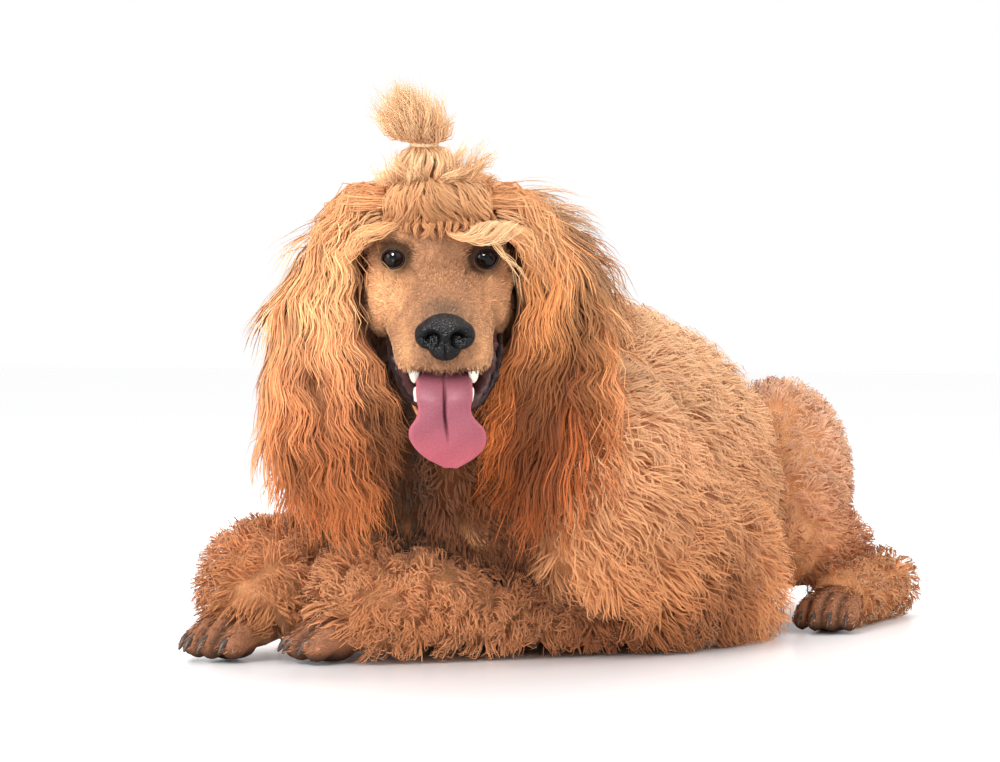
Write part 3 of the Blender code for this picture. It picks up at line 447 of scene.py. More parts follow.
PAWS = {}
for _side in SIDES:
    PAWS["forepaw_" + _side] = (FORE_CARPUS[_side], FORE_HEADING[_side], FORE_PAW_LENGTH, 1.0)
    PAWS["hindpaw_" + _side] = (HIND_ANKLE[_side], HIND_HEADING[_side], HIND_PAW_LENGTH, HIND_PAW_SCALE)


def paw(name):
    wrist, heading, length, scale = PAWS[name]
    matrix = paw_frame(wrist, heading, scale)
    back = ((0, 0.4, 3.0), (2.0, 2.0, 1.9))
    front = ((0, -length + 5.0, 2.2), (2.5, 2.0, 1.5))
    balls = chain((back, front), matrix=matrix)
    balls += chain((((0, -length + 3.2, 0.9), (2.0, 1.7, 0.9)),), matrix=matrix)
    for knuckle, middle, tip in toe_lines(length):
        toe = ((knuckle, (0.86, 1.1, 1.0)), (middle, (0.84, 1.0, 1.0)), (tip, (0.8, 0.95, 0.95)))
        balls += chain(toe, matrix=matrix, steps=4)
    spin = np.array(matrix)[:3, :3] / scale
    return [(centre, radii * scale, spin) for centre, radii, _ in balls]


# Colours, linear RGB

APRICOT = np.array((0.62, 0.285, 0.122))
GLOW = np.array((0.92, 0.48, 0.23))
PALE = np.array((0.90, 0.60, 0.34))
GOLD = np.array((0.76, 0.40, 0.185))
COPPER = np.array((0.49, 0.185, 0.064))
SHADE = np.array((0.20, 0.075, 0.032))
FACE = np.array((0.49, 0.238, 0.122))
DARK_FACE = np.array((0.085, 0.04, 0.024))
PAW_BROWN = np.array((0.335, 0.145, 0.075))
LINING = np.array((0.11, 0.022, 0.025))


# Materials


def surface(name, colour, grain, shades, rough, gloss, bump=None, along=None, stretch=None, pebbles=None):
    """A colour made darker and lighter by a grain of (scale, detail); without a colour, the painted one.

    The grain follows the object's space, or a vertex attribute. A bump of (strength, depth) is raised by the
    grain, or by round pebbles of the given scale.
    """
    mat = bpy.data.materials.new(name)
    mat.use_nodes = True
    nodes, links = mat.node_tree.nodes, mat.node_tree.links
    shader = nodes["Principled BSDF"]

    def added(kind, sources, **values):
        node = nodes.new("ShaderNode" + kind)
        for key, value in values.items():
            node.inputs[key.replace("_", " ")].default_value = value
        for key, source in sources.items():
            links.new(source, node.inputs[key])
        return node

    def attribute(label):
        node = added("Attribute", {})
        node.attribute_name = label
        return node

    if colour is None:
        base = attribute("Coat").outputs["Color"]
    else:
        base = added("RGB", {}).outputs[0]
        base.default_value = (*colour, 1.0)
    where = attribute(along).outputs["Vector"] if along else added("TexCoord", {}).outputs["Object"]
    spread = added("Mapping", {"Vector": where}, Scale=stretch).outputs["Vector"] if stretch else where
    noise = added("TexNoise", {"Vector": spread}, Scale=grain[0], Detail=grain[1]).outputs["Fac"]
    ramp = added("MapRange", {"Value": noise}, From_Min=0.3, From_Max=0.7, To_Min=shades[0], To_Max=shades[1])
    tint = added("VectorMath", {0: base})
    tint.operation = "SCALE"
    links.new(ramp.outputs["Result"], tint.inputs["Scale"])
    links.new(tint.outputs["Vector"], shader.inputs["Base Color"])
    shader.inputs["Roughness"].default_value = rough
    shader.inputs["Specular IOR Level"].default_value = gloss
    if bump:
        height = noise
        if pebbles:
            height = added("TexVoronoi", {"Vector": where}, Scale=pebbles).outputs["Distance"]
        raised = added("Bump", {"Height": height}, Strength=bump[0], Distance=bump[1])
        links.new(raised.outputs["Normal"], shader.inputs["Normal"])
    return mat


def coat_material(name, roughness, low, high, scale, sheen=0.0):
    """Hair: the painted colour, with fine streaks that run along each tuft."""
    mat = surface(name, None, (scale, 2.0), (low, high), roughness, 0.06, along="Strand")
    shader = mat.node_tree.nodes["Principled BSDF"]
    shader.inputs["Sheen Weight"].default_value = sheen
    shader.inputs["Sheen Roughness"].default_value = 0.5
    shader.inputs["Sheen Tint"].default_value = (1.0, 0.82, 0.62, 1.0)
    return mat


# Hair


def rooted(obj, count, seed, keep):
    """Random points on a form with their normals, spread by area, where keep(points, normals) allows them."""
    mesh = obj.data
    mesh.calc_loop_triangles()
    points, normals = coords_of(mesh), normals_of(mesh)
    corners = read(mesh.loop_triangles, "vertices", 3, np.int32)
    a, b, c = (points[corners[:, i]] for i in range(3))
    areas = np.linalg.norm(np.cross(b - a, c - a), axis=1) / 2
    dice = np.random.default_rng(seed)
    found_points, found_normals, got = [], [], 0
    for _ in range(8):
        pick = dice.choice(len(corners), size=count, p=areas / areas.sum())
        u, v = dice.random(count), dice.random(count)
        flip = u + v > 1
        u[flip], v[flip] = 1 - u[flip], 1 - v[flip]
        w = 1 - u - v
        ids = corners[pick]
        weights = np.stack([w, u, v], axis=1)[:, :, None]
        p = (points[ids] * weights).sum(axis=1)
        n = unit((normals[ids] * weights).sum(axis=1))
        good = keep(p, n)
        found_points.append(p[good])
        found_normals.append(n[good])
        got += int(good.sum())
        if got >= count:
            break
    return np.concatenate(found_points)[:count], np.concatenate(found_normals)[:count]


def nearest(points, centres):
    """Index of the centre nearest to each point."""
    tree = kdtree.KDTree(len(centres))
    for i, centre in enumerate(centres):
        tree.insert(centre, i)
    tree.balance()
    return np.array([tree.find(point)[1] for point in points])


STYLE = dict(
    length=4.0, length_spread=0.2, height=2.0, droop=0.0, hook=0.0, wave=0.2, wave_length=3.0, helix=0.0,
    clump=0.6, clump_spacing=1.2, swirl=0.0, stray=0.25, loose=0.12, under=0.25, column=1.0,
    width=0.2, thick=0.025, rings=3, root=SHADE, tip=APRICOT, deep=None, contrast=0.12, relief=0.55,
)


def styled(**values):
    """How a stretch of coat grows. Lengths in centimetres, angles in radians, shares from 0 to 1.

    Height is how far a tuft stands off the skin, droop how far its tip hangs, and hook how far it bends back
    down. Clump is how far tufts draw together to their guide, swirl and stray how far guides and tufts turn
    aside. Loose tufts stay out of the clumps, under ones are wide and short and painted darker, as shade
    under the fine ones. A column below 1 stretches the clumps into tall ringlets; relief is painted shade in
    their grooves and painted light on their ridges. Deep is the brightness of the root beside the tip, in
    place of the root's own: above 1 it paints light into the depth of the coat, below 1 it paints shade
    there.
    """
    return SimpleNamespace(**{**STYLE, **values})


def curves(roots, normals, lie, style, seed, lengths, scale=None):
    """Middle lines of tufts as an array (tuft, station, 3), and the shade and size of each.

    A share of the tufts is undercoat, wider and shorter, which fills the gaps between the fine ones. The
    shade is random, with painted shade on the undercoat and in the grooves between ringlets, and painted
    light on their ridges.
    """
    dice = np.random.default_rng(seed)
    count, stations = len(roots), style.rings + 2
    lie = unit(lie)
    facing = np.sum(lie * normals, axis=1)
    lie = unit(lie - normals * np.minimum(facing, 0.3)[:, None] + 1e-6)
    spots = roots * (1.0, 1.0, style.column)
    groups = int(np.clip(spread_area(roots) * style.column / style.clump_spacing ** 2, 8, count))
    guides = dice.choice(count, size=groups, replace=False)
    group = nearest(spots, spots[guides])
    lengths = np.full(count, style.length) if lengths is None else lengths
    scale = np.ones(count) if scale is None else scale
    scale = scale * (0.25 + 0.75 * smoothstep(-0.99, -0.8, facing))
    loose = dice.random(count) < style.loose
    lengths = lengths * scale * (1 + style.length_spread * dice.uniform(-1, 1, count)) * CM
    under = (dice.random(count) < style.under) & ~loose
    lengths = lengths * np.where(loose, 1.1, np.where(under, 0.85, 1.0))
    size = np.where(under, 2.0, dice.uniform(0.6, 1.2, count))
    side = np.cross(normals, lie)
    offset = np.sum((roots - roots[guides][group]) * side, axis=1)
    ridge = hill((offset, 0, 0.42 * style.clump_spacing * CM)) if style.column < 1 else np.full(count, 0.6)
    angle = dice.normal(0, style.swirl + 1e-6, groups)[group] + dice.normal(0, style.stray, count)
    way = lie * np.cos(angle)[:, None] + side * np.sin(angle)[:, None]
    side = np.cross(normals, way)
    s = np.linspace(0, 1, stations)[None, :, None]
    lift = style.height * CM * scale * dice.uniform(0.75, 1.1, count) * np.where(under, 0.78, 1.0)
    lift = lift * (0.7 + 0.5 * ridge)
    arch = (1 - (1 - s) ** 2.0) * (1 - style.hook) + np.sin(2.35 * s) * style.hook
    rise = arch * lift[:, None, None]
    run = s ** 1.2 * lengths[:, None, None]
    line = roots[:, None, :] + normals[:, None, :] * rise + way[:, None, :] * run
    line[:, :, 2] -= style.droop * CM * s[:, :, 0] ** 2 * scale[:, None]
    phase = dice.uniform(0, math.tau, groups)[group]
    if style.column < 1:
        steep = math.tau / (style.wave_length * CM * dice.uniform(0.75, 1.4, groups)[group])
        angle = phase[:, None] + dice.normal(0, 0.35, count)[:, None] - line[:, :, 2] * steep[:, None]
    else:
        cycles = lengths / (style.wave_length * CM)
        angle = phase[:, None] + dice.normal(0, 0.5, count)[:, None] + math.tau * cycles[:, None] * s[:, :, 0]
    swell = np.minimum(1.0, s[:, :, 0] * 2.5) * style.wave * CM * scale[:, None]
    swell = swell * dice.uniform(0.5, 1.5, groups)[group][:, None]
    line = line + side[:, None, :] * (np.sin(angle) * swell)[:, :, None]
    line = line + normals[:, None, :] * (np.cos(angle) * swell * style.helix)[:, :, None]
    pull = style.clump * s ** 1.2 * np.where(loose, 0.25, 1.0)[:, None, None]
    if style.column < 1:
        line = line - side[:, None, :] * offset[:, None, None] * pull
    else:
        leader = line[guides][group] - (roots[guides][group] - roots)[:, None, :] * (1 - 0.85 * s ** 0.7)
        line = line * (1 - pull) + leader * pull
    shade = dice.normal(0, style.contrast, groups)[group] + dice.normal(0, style.contrast * 0.7, count)
    # Painted shade: undercoat tufts are darker, and ringlets are darker in their grooves and lighter on their
    # ridges.
    shade = shade + 0.10 * waves(roots, 0.09, seed) - 0.08 * under + style.relief * (ridge - 0.6)
    return line, shade, size


def spread_area(points):
    """Rough area, in square centimetres, of the surface that roots are scattered on."""
    cells = np.unique(np.round(points / (1.0 * CM)).astype(int), axis=0)
    return len(cells) * 0.9


def tuft_colours(line, shade, style, tint):
    """Colour at each station: the root's into the tip's, lighter or darker by tuft."""
    stations = line.shape[1]
    s = np.linspace(0, 1, stations)
    tip = style.tip if tint is None else tint[:, None, :]
    # Above 1, deep paints the root lighter than the tip, as light in the depth of the coat; below 1, darker,
    # as shade.
    root = style.root if style.deep is None else np.minimum(tip * style.deep, 1.0)
    colours = root * (1 - s[None, :, None]) ** 1.4 + tip * (1 - (1 - s[None, :, None]) ** 1.4)
    return np.clip(colours * np.exp(shade)[:, None, None], 0.002, 1.0)


# The most triangles of a piece, and the side of a tuft's patch on the unwrap
MOST_TRIANGLES = 190000
PATCH = 0.003


def tuft_mesh(name, line, colours, size, normals, style, unwrap, seed):
    """Closed three-sided tufts along the given lines, as pieces of fewer triangles than the limit."""
    dice = np.random.default_rng(seed)
    count, rings = line.shape[0], line.shape[1] - 2
    pieces = max(1, math.ceil(count * 6 * rings / MOST_TRIANGLES))
    made = []
    order = np.argsort(line[:, 0, 1], kind="stable")
    for number, chosen in enumerate(np.array_split(order, pieces), 1):
        label = name if pieces == 1 else f"{name}_{number}"
        parts = (part[chosen] for part in (line, colours, size, normals))
        made.append(tuft_piece(label, *parts, style, unwrap, dice))
    return made


def tuft_piece(name, line, colours, size, normals, style, unwrap, dice):
    """One mesh of closed spindles: a point at the root, rings of three corners and a point at the tip."""
    count, rings = line.shape[0], line.shape[1] - 2
    along = unit(np.gradient(line, axis=1))
    spin = dice.uniform(-0.6, 0.6, count)
    across = unit(np.cross(along, normals[:, None, :]) + 1e-9)
    up = np.cross(across, along)
    wide_way = across * np.cos(spin)[:, None, None] + up * np.sin(spin)[:, None, None]
    high_way = np.cross(wide_way, along)
    s = np.linspace(0, 1, rings + 2)[1:-1]
    taper = np.minimum(1.0, 0.62 + s) * (1 - s ** 1.8 * 0.75)
    wide = (taper[None, :] * size[:, None] * style.width * CM / 2)[:, :, None]
    high = (taper[None, :] * np.minimum(size, 1.2)[:, None] * style.thick * CM)[:, :, None]
    body = line[:, 1:-1]
    left = body - wide_way[:, 1:-1] * wide
    right = body + wide_way[:, 1:-1] * wide
    crest = body + high_way[:, 1:-1] * high
    ring = np.stack([left, right, crest], axis=2).reshape(count, rings * 3, 3)
    points = np.concatenate([line[:, :1], ring, line[:, -1:]], axis=1)
    shades = np.concatenate([colours[:, :1], np.repeat(colours[:, 1:-1], 3, axis=1), colours[:, -1:]], axis=1)
    per = rings * 3 + 2

    faces = []
    for i in range(3):
        faces.append((0, 1 + (i + 1) % 3, 1 + i))
        faces.append((per - 4 + i, per - 4 + (i + 1) % 3, per - 1))
    for k in range(rings - 1):
        for i in range(3):
            a, b = 1 + k * 3 + i, 1 + k * 3 + (i + 1) % 3
            faces.append((a, b, b + 3))
            faces.append((a, b + 3, a + 3))
    faces = np.array(faces)
    corners = (faces[None] + (np.arange(count) * per)[:, None, None]).reshape(-1)
    mesh = bpy.data.meshes.new(name)
    mesh.vertices.add(count * per)
    mesh.vertices.foreach_set("co", points.astype(np.float32).ravel())
    triangles = len(corners) // 3
    mesh.loops.add(triangles * 3)
    mesh.loops.foreach_set("vertex_index", corners.astype(np.int32))
    mesh.polygons.add(triangles)
    mesh.polygons.foreach_set("loop_start", np.arange(0, triangles * 3, 3, dtype=np.int32))
    mesh.polygons.foreach_set("loop_total", np.full(triangles, 3, dtype=np.int32))
    mesh.update(calc_edges=True)
    mesh.shade_smooth()
    sharpen_sides(mesh, per)
    paint(mesh, shades.reshape(-1, 3))
    across = np.concatenate([[0.5], np.tile((0.0, 1.0, 0.5), rings), [0.5]])
    along_tuft = np.concatenate([[0.0], np.repeat(s, 3), [1.0]]) * 0.35
    own = dice.uniform(0, 50, count)[:, None]
    strand = np.stack(np.broadcast_arrays(across[None], along_tuft[None], own), axis=2)
    layer = mesh.attributes.new("Strand", "FLOAT_VECTOR", "POINT")
    layer.data.foreach_set("vector", strand.astype(np.float32).ravel())

    middle = unwrap(line[:, 0])
    spread = np.linspace(-0.5, 0.5, rings + 2)
    patch_u = np.concatenate([[0.0], np.tile((-0.5, 0.5, 0.0), rings), [0.0]])
    patch_v = np.concatenate([[-0.5], np.repeat(spread[1:-1], 3), [0.5]])
    uv = middle[:, None, :] + np.stack([patch_u, patch_v], axis=1)[None] * PATCH
    uv = uv.reshape(-1, 2)[corners]
    layer = mesh.uv_layers.new(name="OFBake")
    layer.data.foreach_set("uv", uv.astype(np.float32).ravel())
    mesh.validate()
    return link(mesh, name)


def sharpen_sides(mesh, per):
    """Marks the two long sides of each tuft as sharp, so that its face is shaded like a flat ribbon."""
    ends = read(mesh.edges, "vertices", 2, np.int32) % per
    column = np.where((ends == 0) | (ends == per - 1), -1, (ends - 1) % 3)
    low, high = column.min(axis=1), column.max(axis=1)
    sharp = ((low == high) | (low == -1)) & (high >= 0) & (high < 2)
    layer = mesh.attributes.new("sharp_edge", "BOOLEAN", "EDGE")
    layer.data.foreach_set("value", sharp)


def round_unwrap(start, end):
    """An unwrap of a limb or trunk: the turn round its axis, and the way along it."""
    a, b = np.asarray(start), np.asarray(end)
    axis = unit(b - a)
    side = unit(np.cross(axis, (0.3, 0.2, 1.0)))
    front = np.cross(axis, side)
    reach = np.linalg.norm(b - a)

    def unwrap(points):
        offset = points - a
        turn = np.arctan2(offset @ side, offset @ front) / math.tau + 0.5
        way = (offset @ axis) / reach
        return np.stack([0.01 + 0.98 * turn, 0.01 + 0.98 * np.clip(way, 0, 1)], axis=1)

    return unwrap


def unwrap_between(matrix, start, end):
    """The unwrap round an axis whose ends are given in centimetres of a frame."""
    return round_unwrap(spot(matrix, start), spot(matrix, end))


def grow(name, roots, normals, lie, style, unwrap, material, seed, tint=None, lengths=None, scale=None):
    """A stretch of coat: lines, colours and meshes, with its material."""
    line, shade, size = curves(roots, normals, lie, style, seed, lengths, scale)
    colours = tuft_colours(line, shade, style, tint)
    cover(name, line, colours, size, normals, style, unwrap, material, seed)


# Height over the floor, in metres, below which nothing reaches
FLOOR_CLEAR = 0.0012


def cover(name, line, colours, size, normals, style, unwrap, material, seed):
    """Makes the pieces of one stretch of coat, clear of the floor."""
    line[:, :, 2] = np.maximum(line[:, :, 2], FLOOR_CLEAR)
    for obj in tuft_mesh(name, line, colours, size, normals, style, unwrap, seed):
        obj.data.materials.append(material)
        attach(obj, "root")


BODY_HAIR = coat_material("coat_body", 0.75, 0.8, 1.2, 4.0, 0.4)
PALE_HAIR = coat_material("coat_pale", 0.7, 0.8, 1.2, 4.0, 0.4)
EAR_HAIR = coat_material("coat_ears", 0.6, 0.72, 1.28, 5.0, 0.25)
FACE_HAIR = coat_material("coat_face", 0.65, 0.8, 1.18, 2.5, 0.15)
PAW_HAIR = coat_material("coat_paws", 0.65, 0.8, 1.2, 2.5)


# Skin


def body_balls():
    balls = trunk_fore() + trunk_rear() + neck() + tail()
    for side in SIDES:
        balls += foreleg(side) + hindleg(side) + hindfoot(side)
    return balls


def flatten_below(points, level):
    points[:, 2] = np.maximum(points[:, 2], level)
    return points


def make_body_skin():
    obj = melted("skin_body", body_balls(), 0.6, 5)
    points = flatten_below(coords_of(obj.data), FLOOR_CLEAR)
    put_coords(obj.data, points)
    here = local(TRUNK, points)
    patches = waves(points, 0.06, 3)
    colour = mix(COPPER, GLOW * 0.8, 0.5 + 0.3 * patches)
    # Painted shade on the skin near the floor, where the dog lies on it, and on the neck's front under the
    # head and between the ears.
    floor_shade = smoothstep(2.0, 0.0, here[:, 2])
    x, _, z = local(EARS, points).T
    forward = smoothstep(0.4, -0.1, normals_of(obj.data) @ np.array(EARS)[:3, 1])
    throat_shade = forward * smoothstep(9.5, 6.5, np.abs(x - 1.0)) * smoothstep(-3.0, -6.0, z)
    throat_shade = throat_shade * smoothstep(8.5, 10.5, here[:, 2])
    paint(obj.data, mix(mix(colour, SHADE, floor_shade), COPPER * (0.15, 0.10, 0.07), throat_shade * 0.95))
    return obj


def make_ear_skins():
    made = []
    for side in SIDES:
        obj = melted("skin_ear_" + side, ear_leather(side), 0.4, 4)
        paint(obj.data, SHADE * 0.9)
        made.append(obj)
    return made


# Half sizes of the opening between the lids, as shares of the eyeball's radius
LID_WIDTH = 0.63
LID_UPPER = 0.56
LID_LOWER = 0.55
LID_INWARD = 0.11


def eye_centre(side):
    return np.array((EYE_AT[0] * side, EYE_AT[1], EYE_AT[2]))


def eye_directions(points, side):
    """Distance from an eyeball's centre and the direction, as offsets across and up, in eye radii."""
    here = local(HEAD, points) - eye_centre(side)
    turn = side * EYE_TURN
    x = here[:, 0] * math.cos(turn) + here[:, 1] * math.sin(turn)
    y = -here[:, 0] * math.sin(turn) + here[:, 1] * math.cos(turn)
    far = np.linalg.norm(here, axis=1)
    across = x / np.maximum(far, 1e-6) + LID_INWARD * side
    return far, across, here[:, 2] / np.maximum(far, 1e-6), y / np.maximum(far, 1e-6)


def lid_opening(across, up):
    """Below 1 inside the opening of the lids and above 1 outside."""
    reach = np.where(up > 0, LID_UPPER, LID_LOWER)
    return np.sqrt((across / LID_WIDTH) ** 2 + (up / reach) ** 2)


def shape_lids(points):
    """Draws the skin round each eyeball into lids with a raised rim, and sinks it behind the opening."""
    result = points.copy()
    for side in SIDES.values():
        far, across, up, back = eye_directions(points, side)
        near = (far < EYE_RADIUS + 1.1) & (back < 0.45)
        opening = lid_opening(across, up)
        fold = 0.05 * hill((opening, 1.15, 0.12)) - 0.05 * hill((opening, 1.45, 0.12))
        level = far + (EYE_RADIUS + 0.10 - far) * smoothstep(1.9, 1.0, opening)
        outside = np.maximum(level, EYE_RADIUS + 0.09) + fold
        wanted = np.where(opening > 1.0, outside, np.minimum(far, EYE_RADIUS - 0.25))
        centre = spot(HEAD, eye_centre(side))
        moved = centre + unit(points - centre) * (wanted * CM)[:, None]
        result[near] = moved[near]
    return result


def bridge_folds(here):
    """Soft folds across the bridge between the eyes, from -1 in a fold to 1 on a ridge."""
    x, y, z = here.T
    bend = y + 0.5 * np.abs(x) + 0.35 * np.sin(1.3 * x + 0.6)
    along = smoothstep(-5.5, -3.2, y) * smoothstep(1.6, 0.2, y)
    return np.sin(bend * 4.2) * hill((x, 0, 1.9)) * along * smoothstep(-3.4, -2.0, z)


def face_relief(here):
    """Height of folds and pads on the face, in centimetres, over the head's frame."""
    x, y, z = here.T
    wide = np.abs(x)
    pads = 0.20 * hill((wide, 1.8, 1.1), (y, -8.4, 1.7), (z, -4.4, 1.0))
    groove = -0.08 * hill((x, 0, 0.2)) * smoothstep(-8.0, -9.2, y) * smoothstep(-4.0, -4.8, z)
    stop = -0.14 * hill((x, 0, 0.8), (y, 0.2, 1.8)) * smoothstep(-0.8, 0.8, z)
    tear = -0.12 * hill((wide, 2.0, 0.35), (z + 0.5 * (wide - 2.0), -0.9, 0.5)) * (y < 1.5)
    return 0.07 * bridge_folds(here) + pads + groove + stop + tear


def face_colours(points, normals):
    """Colours, painted shade and light of the face, laid over each other in order as (colour, share)."""
    here = local(HEAD, points)
    x, y, z = here.T
    wide = np.abs(x)
    under = normals @ turned(HEAD, (0, 0, 1))
    stretched = here * (1.0, 0.45, 0.7) * CM
    crown = smoothstep(-1.0, 4.0, y)
    bridge = smoothstep(2.6, 1.4, wide) * smoothstep(-9.5, -7.0, y)
    muzzle = smoothstep(-3.0, -4.2, z) * smoothstep(-2.0, -5.0, y)
    layers = [
        (APRICOT, 0.5 * crown),
        (FACE * 0.7, 0.4 * (0.5 + 0.5 * waves(points, 0.02, 5))),
        (FACE * 0.45, 0.55 * np.clip(waves(stretched, 0.006, 15), 0, 1)),
        (GOLD, 0.45 * np.clip(waves(stretched, 0.007, 16), 0, 1)),
        # Painted shade in the folds across the bridge.
        (FACE * 0.45, 0.75 * np.clip(-bridge_folds(here), 0, 1)),
        (FACE * 0.8, 0.8 * bridge),
        (FACE * 0.72, 0.8 * muzzle),
    ]
    for side in SIDES.values():
        far, across, up, _ = eye_directions(points, side)
        near = smoothstep(EYE_RADIUS + 1.0, EYE_RADIUS + 0.2, far)
        opening = lid_opening(across, up - 0.06)
        layers.append(((0.10, 0.035, 0.015), 0.75 * near * smoothstep(1.9, 1.3, opening)))
        layers.append((DARK_FACE * 0.4, near * smoothstep(1.5, 1.25, opening)))
    duct = hill((wide, 2.0, 0.42), (z - 0.6 * (wide - 2.0), -0.5, 0.2)) * (y < 1.5)
    # Painted shade in the groove where the muzzle meets the cheek and in the folds below the eyes.
    crease_shade = hill((wide - 0.1 * (z + 5), 3.45, 0.35)) * smoothstep(-1.2, -3.0, z) * smoothstep(-5, -3, y)
    furrow_shade = hill((wide - 0.12 * z, 1.75, 0.22)) * smoothstep(-0.8, -1.4, z) * smoothstep(-3.4, -2.4, z)
    above_nose = hill((x, 0, 1.7), (y, -9.2, 1.5), (z, -1.7, 1.0))
    below_nose = hill((x, 0, 1.4), (y, -9.9, 1.0), (z, -5.0, 0.6))
    lip_edge = smoothstep(-0.55, -0.8, under) * smoothstep(-4.2, -4.8, z) * (y < 3)
    palate = smoothstep(-0.9, -0.97, under) * (wide < 2.2) * (y < 3) * (z < -4.6)
    # The cheeks are paler in colour and painted lighter still on the dog's right, which the key lamp lights;
    # a painted highlight lies on the side of the muzzle above the lip.
    cheek = hill((wide, 3.9, 1.8), (z, -2.2, 2.0)) * (y > -4)
    ledge_highlight = hill((wide, 2.5, 0.5), (z, -4.4, 1.3)) * (y < -4)
    layers += [
        (DARK_FACE, 0.85 * duct),
        (FACE * 0.4, 0.6 * crease_shade),
        (FACE * 0.5, 0.4 * furrow_shade * (y > -7)),
        ((0.15, 0.09, 0.06), 0.85 * above_nose),
        ((0.12, 0.06, 0.04), 0.6 * below_nose),
        (DARK_FACE, 0.9 * lip_edge),
        (LINING, palate),
        (GOLD * 1.05, np.where(x < 0, 0.75, 0.3) * cheek),
        (GOLD, 0.6 * ledge_highlight),
    ]
    colour = FACE
    for layer, share in layers:
        colour = mix(colour, layer, share)
    return colour


def make_head_skin():
    obj = melted("skin_head", skull(), 0.2, 16)
    remeshed(obj, 0.12, 3)
    points, normals = coords_of(obj.data), normals_of(obj.data)
    relief = face_relief(local(HEAD, points))
    points = shape_lids(points + normals * (relief * CM)[:, None])
    put_coords(obj.data, points)
    paint(obj.data, face_colours(points, normals_of(obj.data)))
    return obj


def make_jaw_skin():
    obj = melted("skin_jaw", chin(), 0.18, 6)
    upward = smoothstep(0.1, 0.4, normals_of(obj.data) @ turned(HEAD, (0, 0, 1)))
    paint(obj.data, mix(APRICOT * 0.8, LINING, upward))
    return obj


def make_crown_skin():
    """The scalp and the core of the topknot, a little inside the roots of their hair."""
    shrunk = [(centre, radii * 0.92, spin) for centre, radii, spin in pouf_balls()]
    obj = melted("skin_crown", shrunk, 0.4, 4)
    # Painted shade low on the scalp, under the overhang of the pouf above the eyes.
    low = smoothstep(2.6, 1.4, local(HEAD, coords_of(obj.data))[:, 2])
    paint(obj.data, mix(APRICOT * 0.8, SHADE, low))
    return obj


def toe_grooves(name, points):
    """How far points of a paw lie in the grooves between its toes, from 0 to 1."""
    wrist, heading, length, scale = PAWS[name]
    x, y, _ = local(paw_frame(wrist, heading, scale), points).T
    step = x / 1.4
    groove = np.exp(-(((step - np.clip(np.round(step), -1, 1)) / 0.17) ** 2))
    return groove * smoothstep(-length + 4.8, -length + 3.4, y)


def make_paw_skins():
    made = []
    for name in PAWS:
        obj = melted("skin_" + name, paw(name), 0.2, 3)
        points = flatten_below(coords_of(obj.data), 0.0003)
        put_coords(obj.data, points)
        # Painted shade low down, where the paw meets the floor, and in the grooves between the toes.
        low = smoothstep(1.4, 0.3, points[:, 2] / CM)
        mottled = 0.5 + 0.5 * waves(points, 0.012, 8)
        colour = mix(mix(PAW_BROWN, PAW_BROWN * 0.6, 0.5 * mottled), DARK_FACE * 0.6, low)
        paint(obj.data, mix(colour, DARK_FACE * 0.7, 0.85 * toe_grooves(name, points)))
        made.append(obj)
    return made


def make_skin():
    """One skin in place of every node of flesh."""
    parts = [make_head_skin(), make_jaw_skin(), make_crown_skin(), make_body_skin()]
    parts += make_ear_skins() + make_paw_skins()
    skin = joined(parts, "skin")
    skin.data.materials.clear()
    grain = surface("skin_grain", None, (900.0, 2.0), (0.72, 1.2), 0.7, 0.05, (0.5, 0.0006))
    skin.data.materials.append(grain)
    skin.data.shade_smooth()
    layer = skin.data.uv_layers.new(name="OFBake")
    points = coords_of(skin.data)
    ids = read(skin.data.loops, "vertex_index", 1, np.int32)[:, 0]
    flat = unwrap_between(TRUNK, (0, -20, 12), (0, 68, 12))(points)
    layer.data.foreach_set("uv", flat[ids].astype(np.float32).ravel())
    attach(skin, "root")
    return skin


# Coat regions


def long_coat_lie(points):
    """Body hair lies towards the tail and down the flanks."""
    here = local(TRUNK, points)
    lie = np.zeros_like(points)
    lie[:, 1] = 0.75
    lie[:, 2] = -0.9 + 0.5 * smoothstep(14, 24, here[:, 2])
    lie[:, 0] = 0.25 * np.sign(here[:, 0])
    return lie


def clear_of(points, *others):
    """Whether points lie outside every one of the other forms."""
    good = np.ones(len(points), dtype=bool)
    for balls in others:
        good &= inside(balls, points) < 0.002
    return good


def painted_crease_shade(tint, points, *others):
    """The tint with painted shade close to other forms, where one limb lies against another."""
    for balls in others:
        near = smoothstep(-0.028, -0.004, inside(balls, points))
        tint = mix(tint, tint * (0.42, 0.32, 0.28), 0.8 * near)
    return tint


LONG_COAT_END = 29.0


def off_the_floor(points, normals, level=0.8):
    """Where hair can grow: not on the belly and the undersides that the dog lies on."""
    low = (normals[:, 2] < -0.75) & (points[:, 2] < 6 * CM)
    return (points[:, 2] > level * CM) & ~low


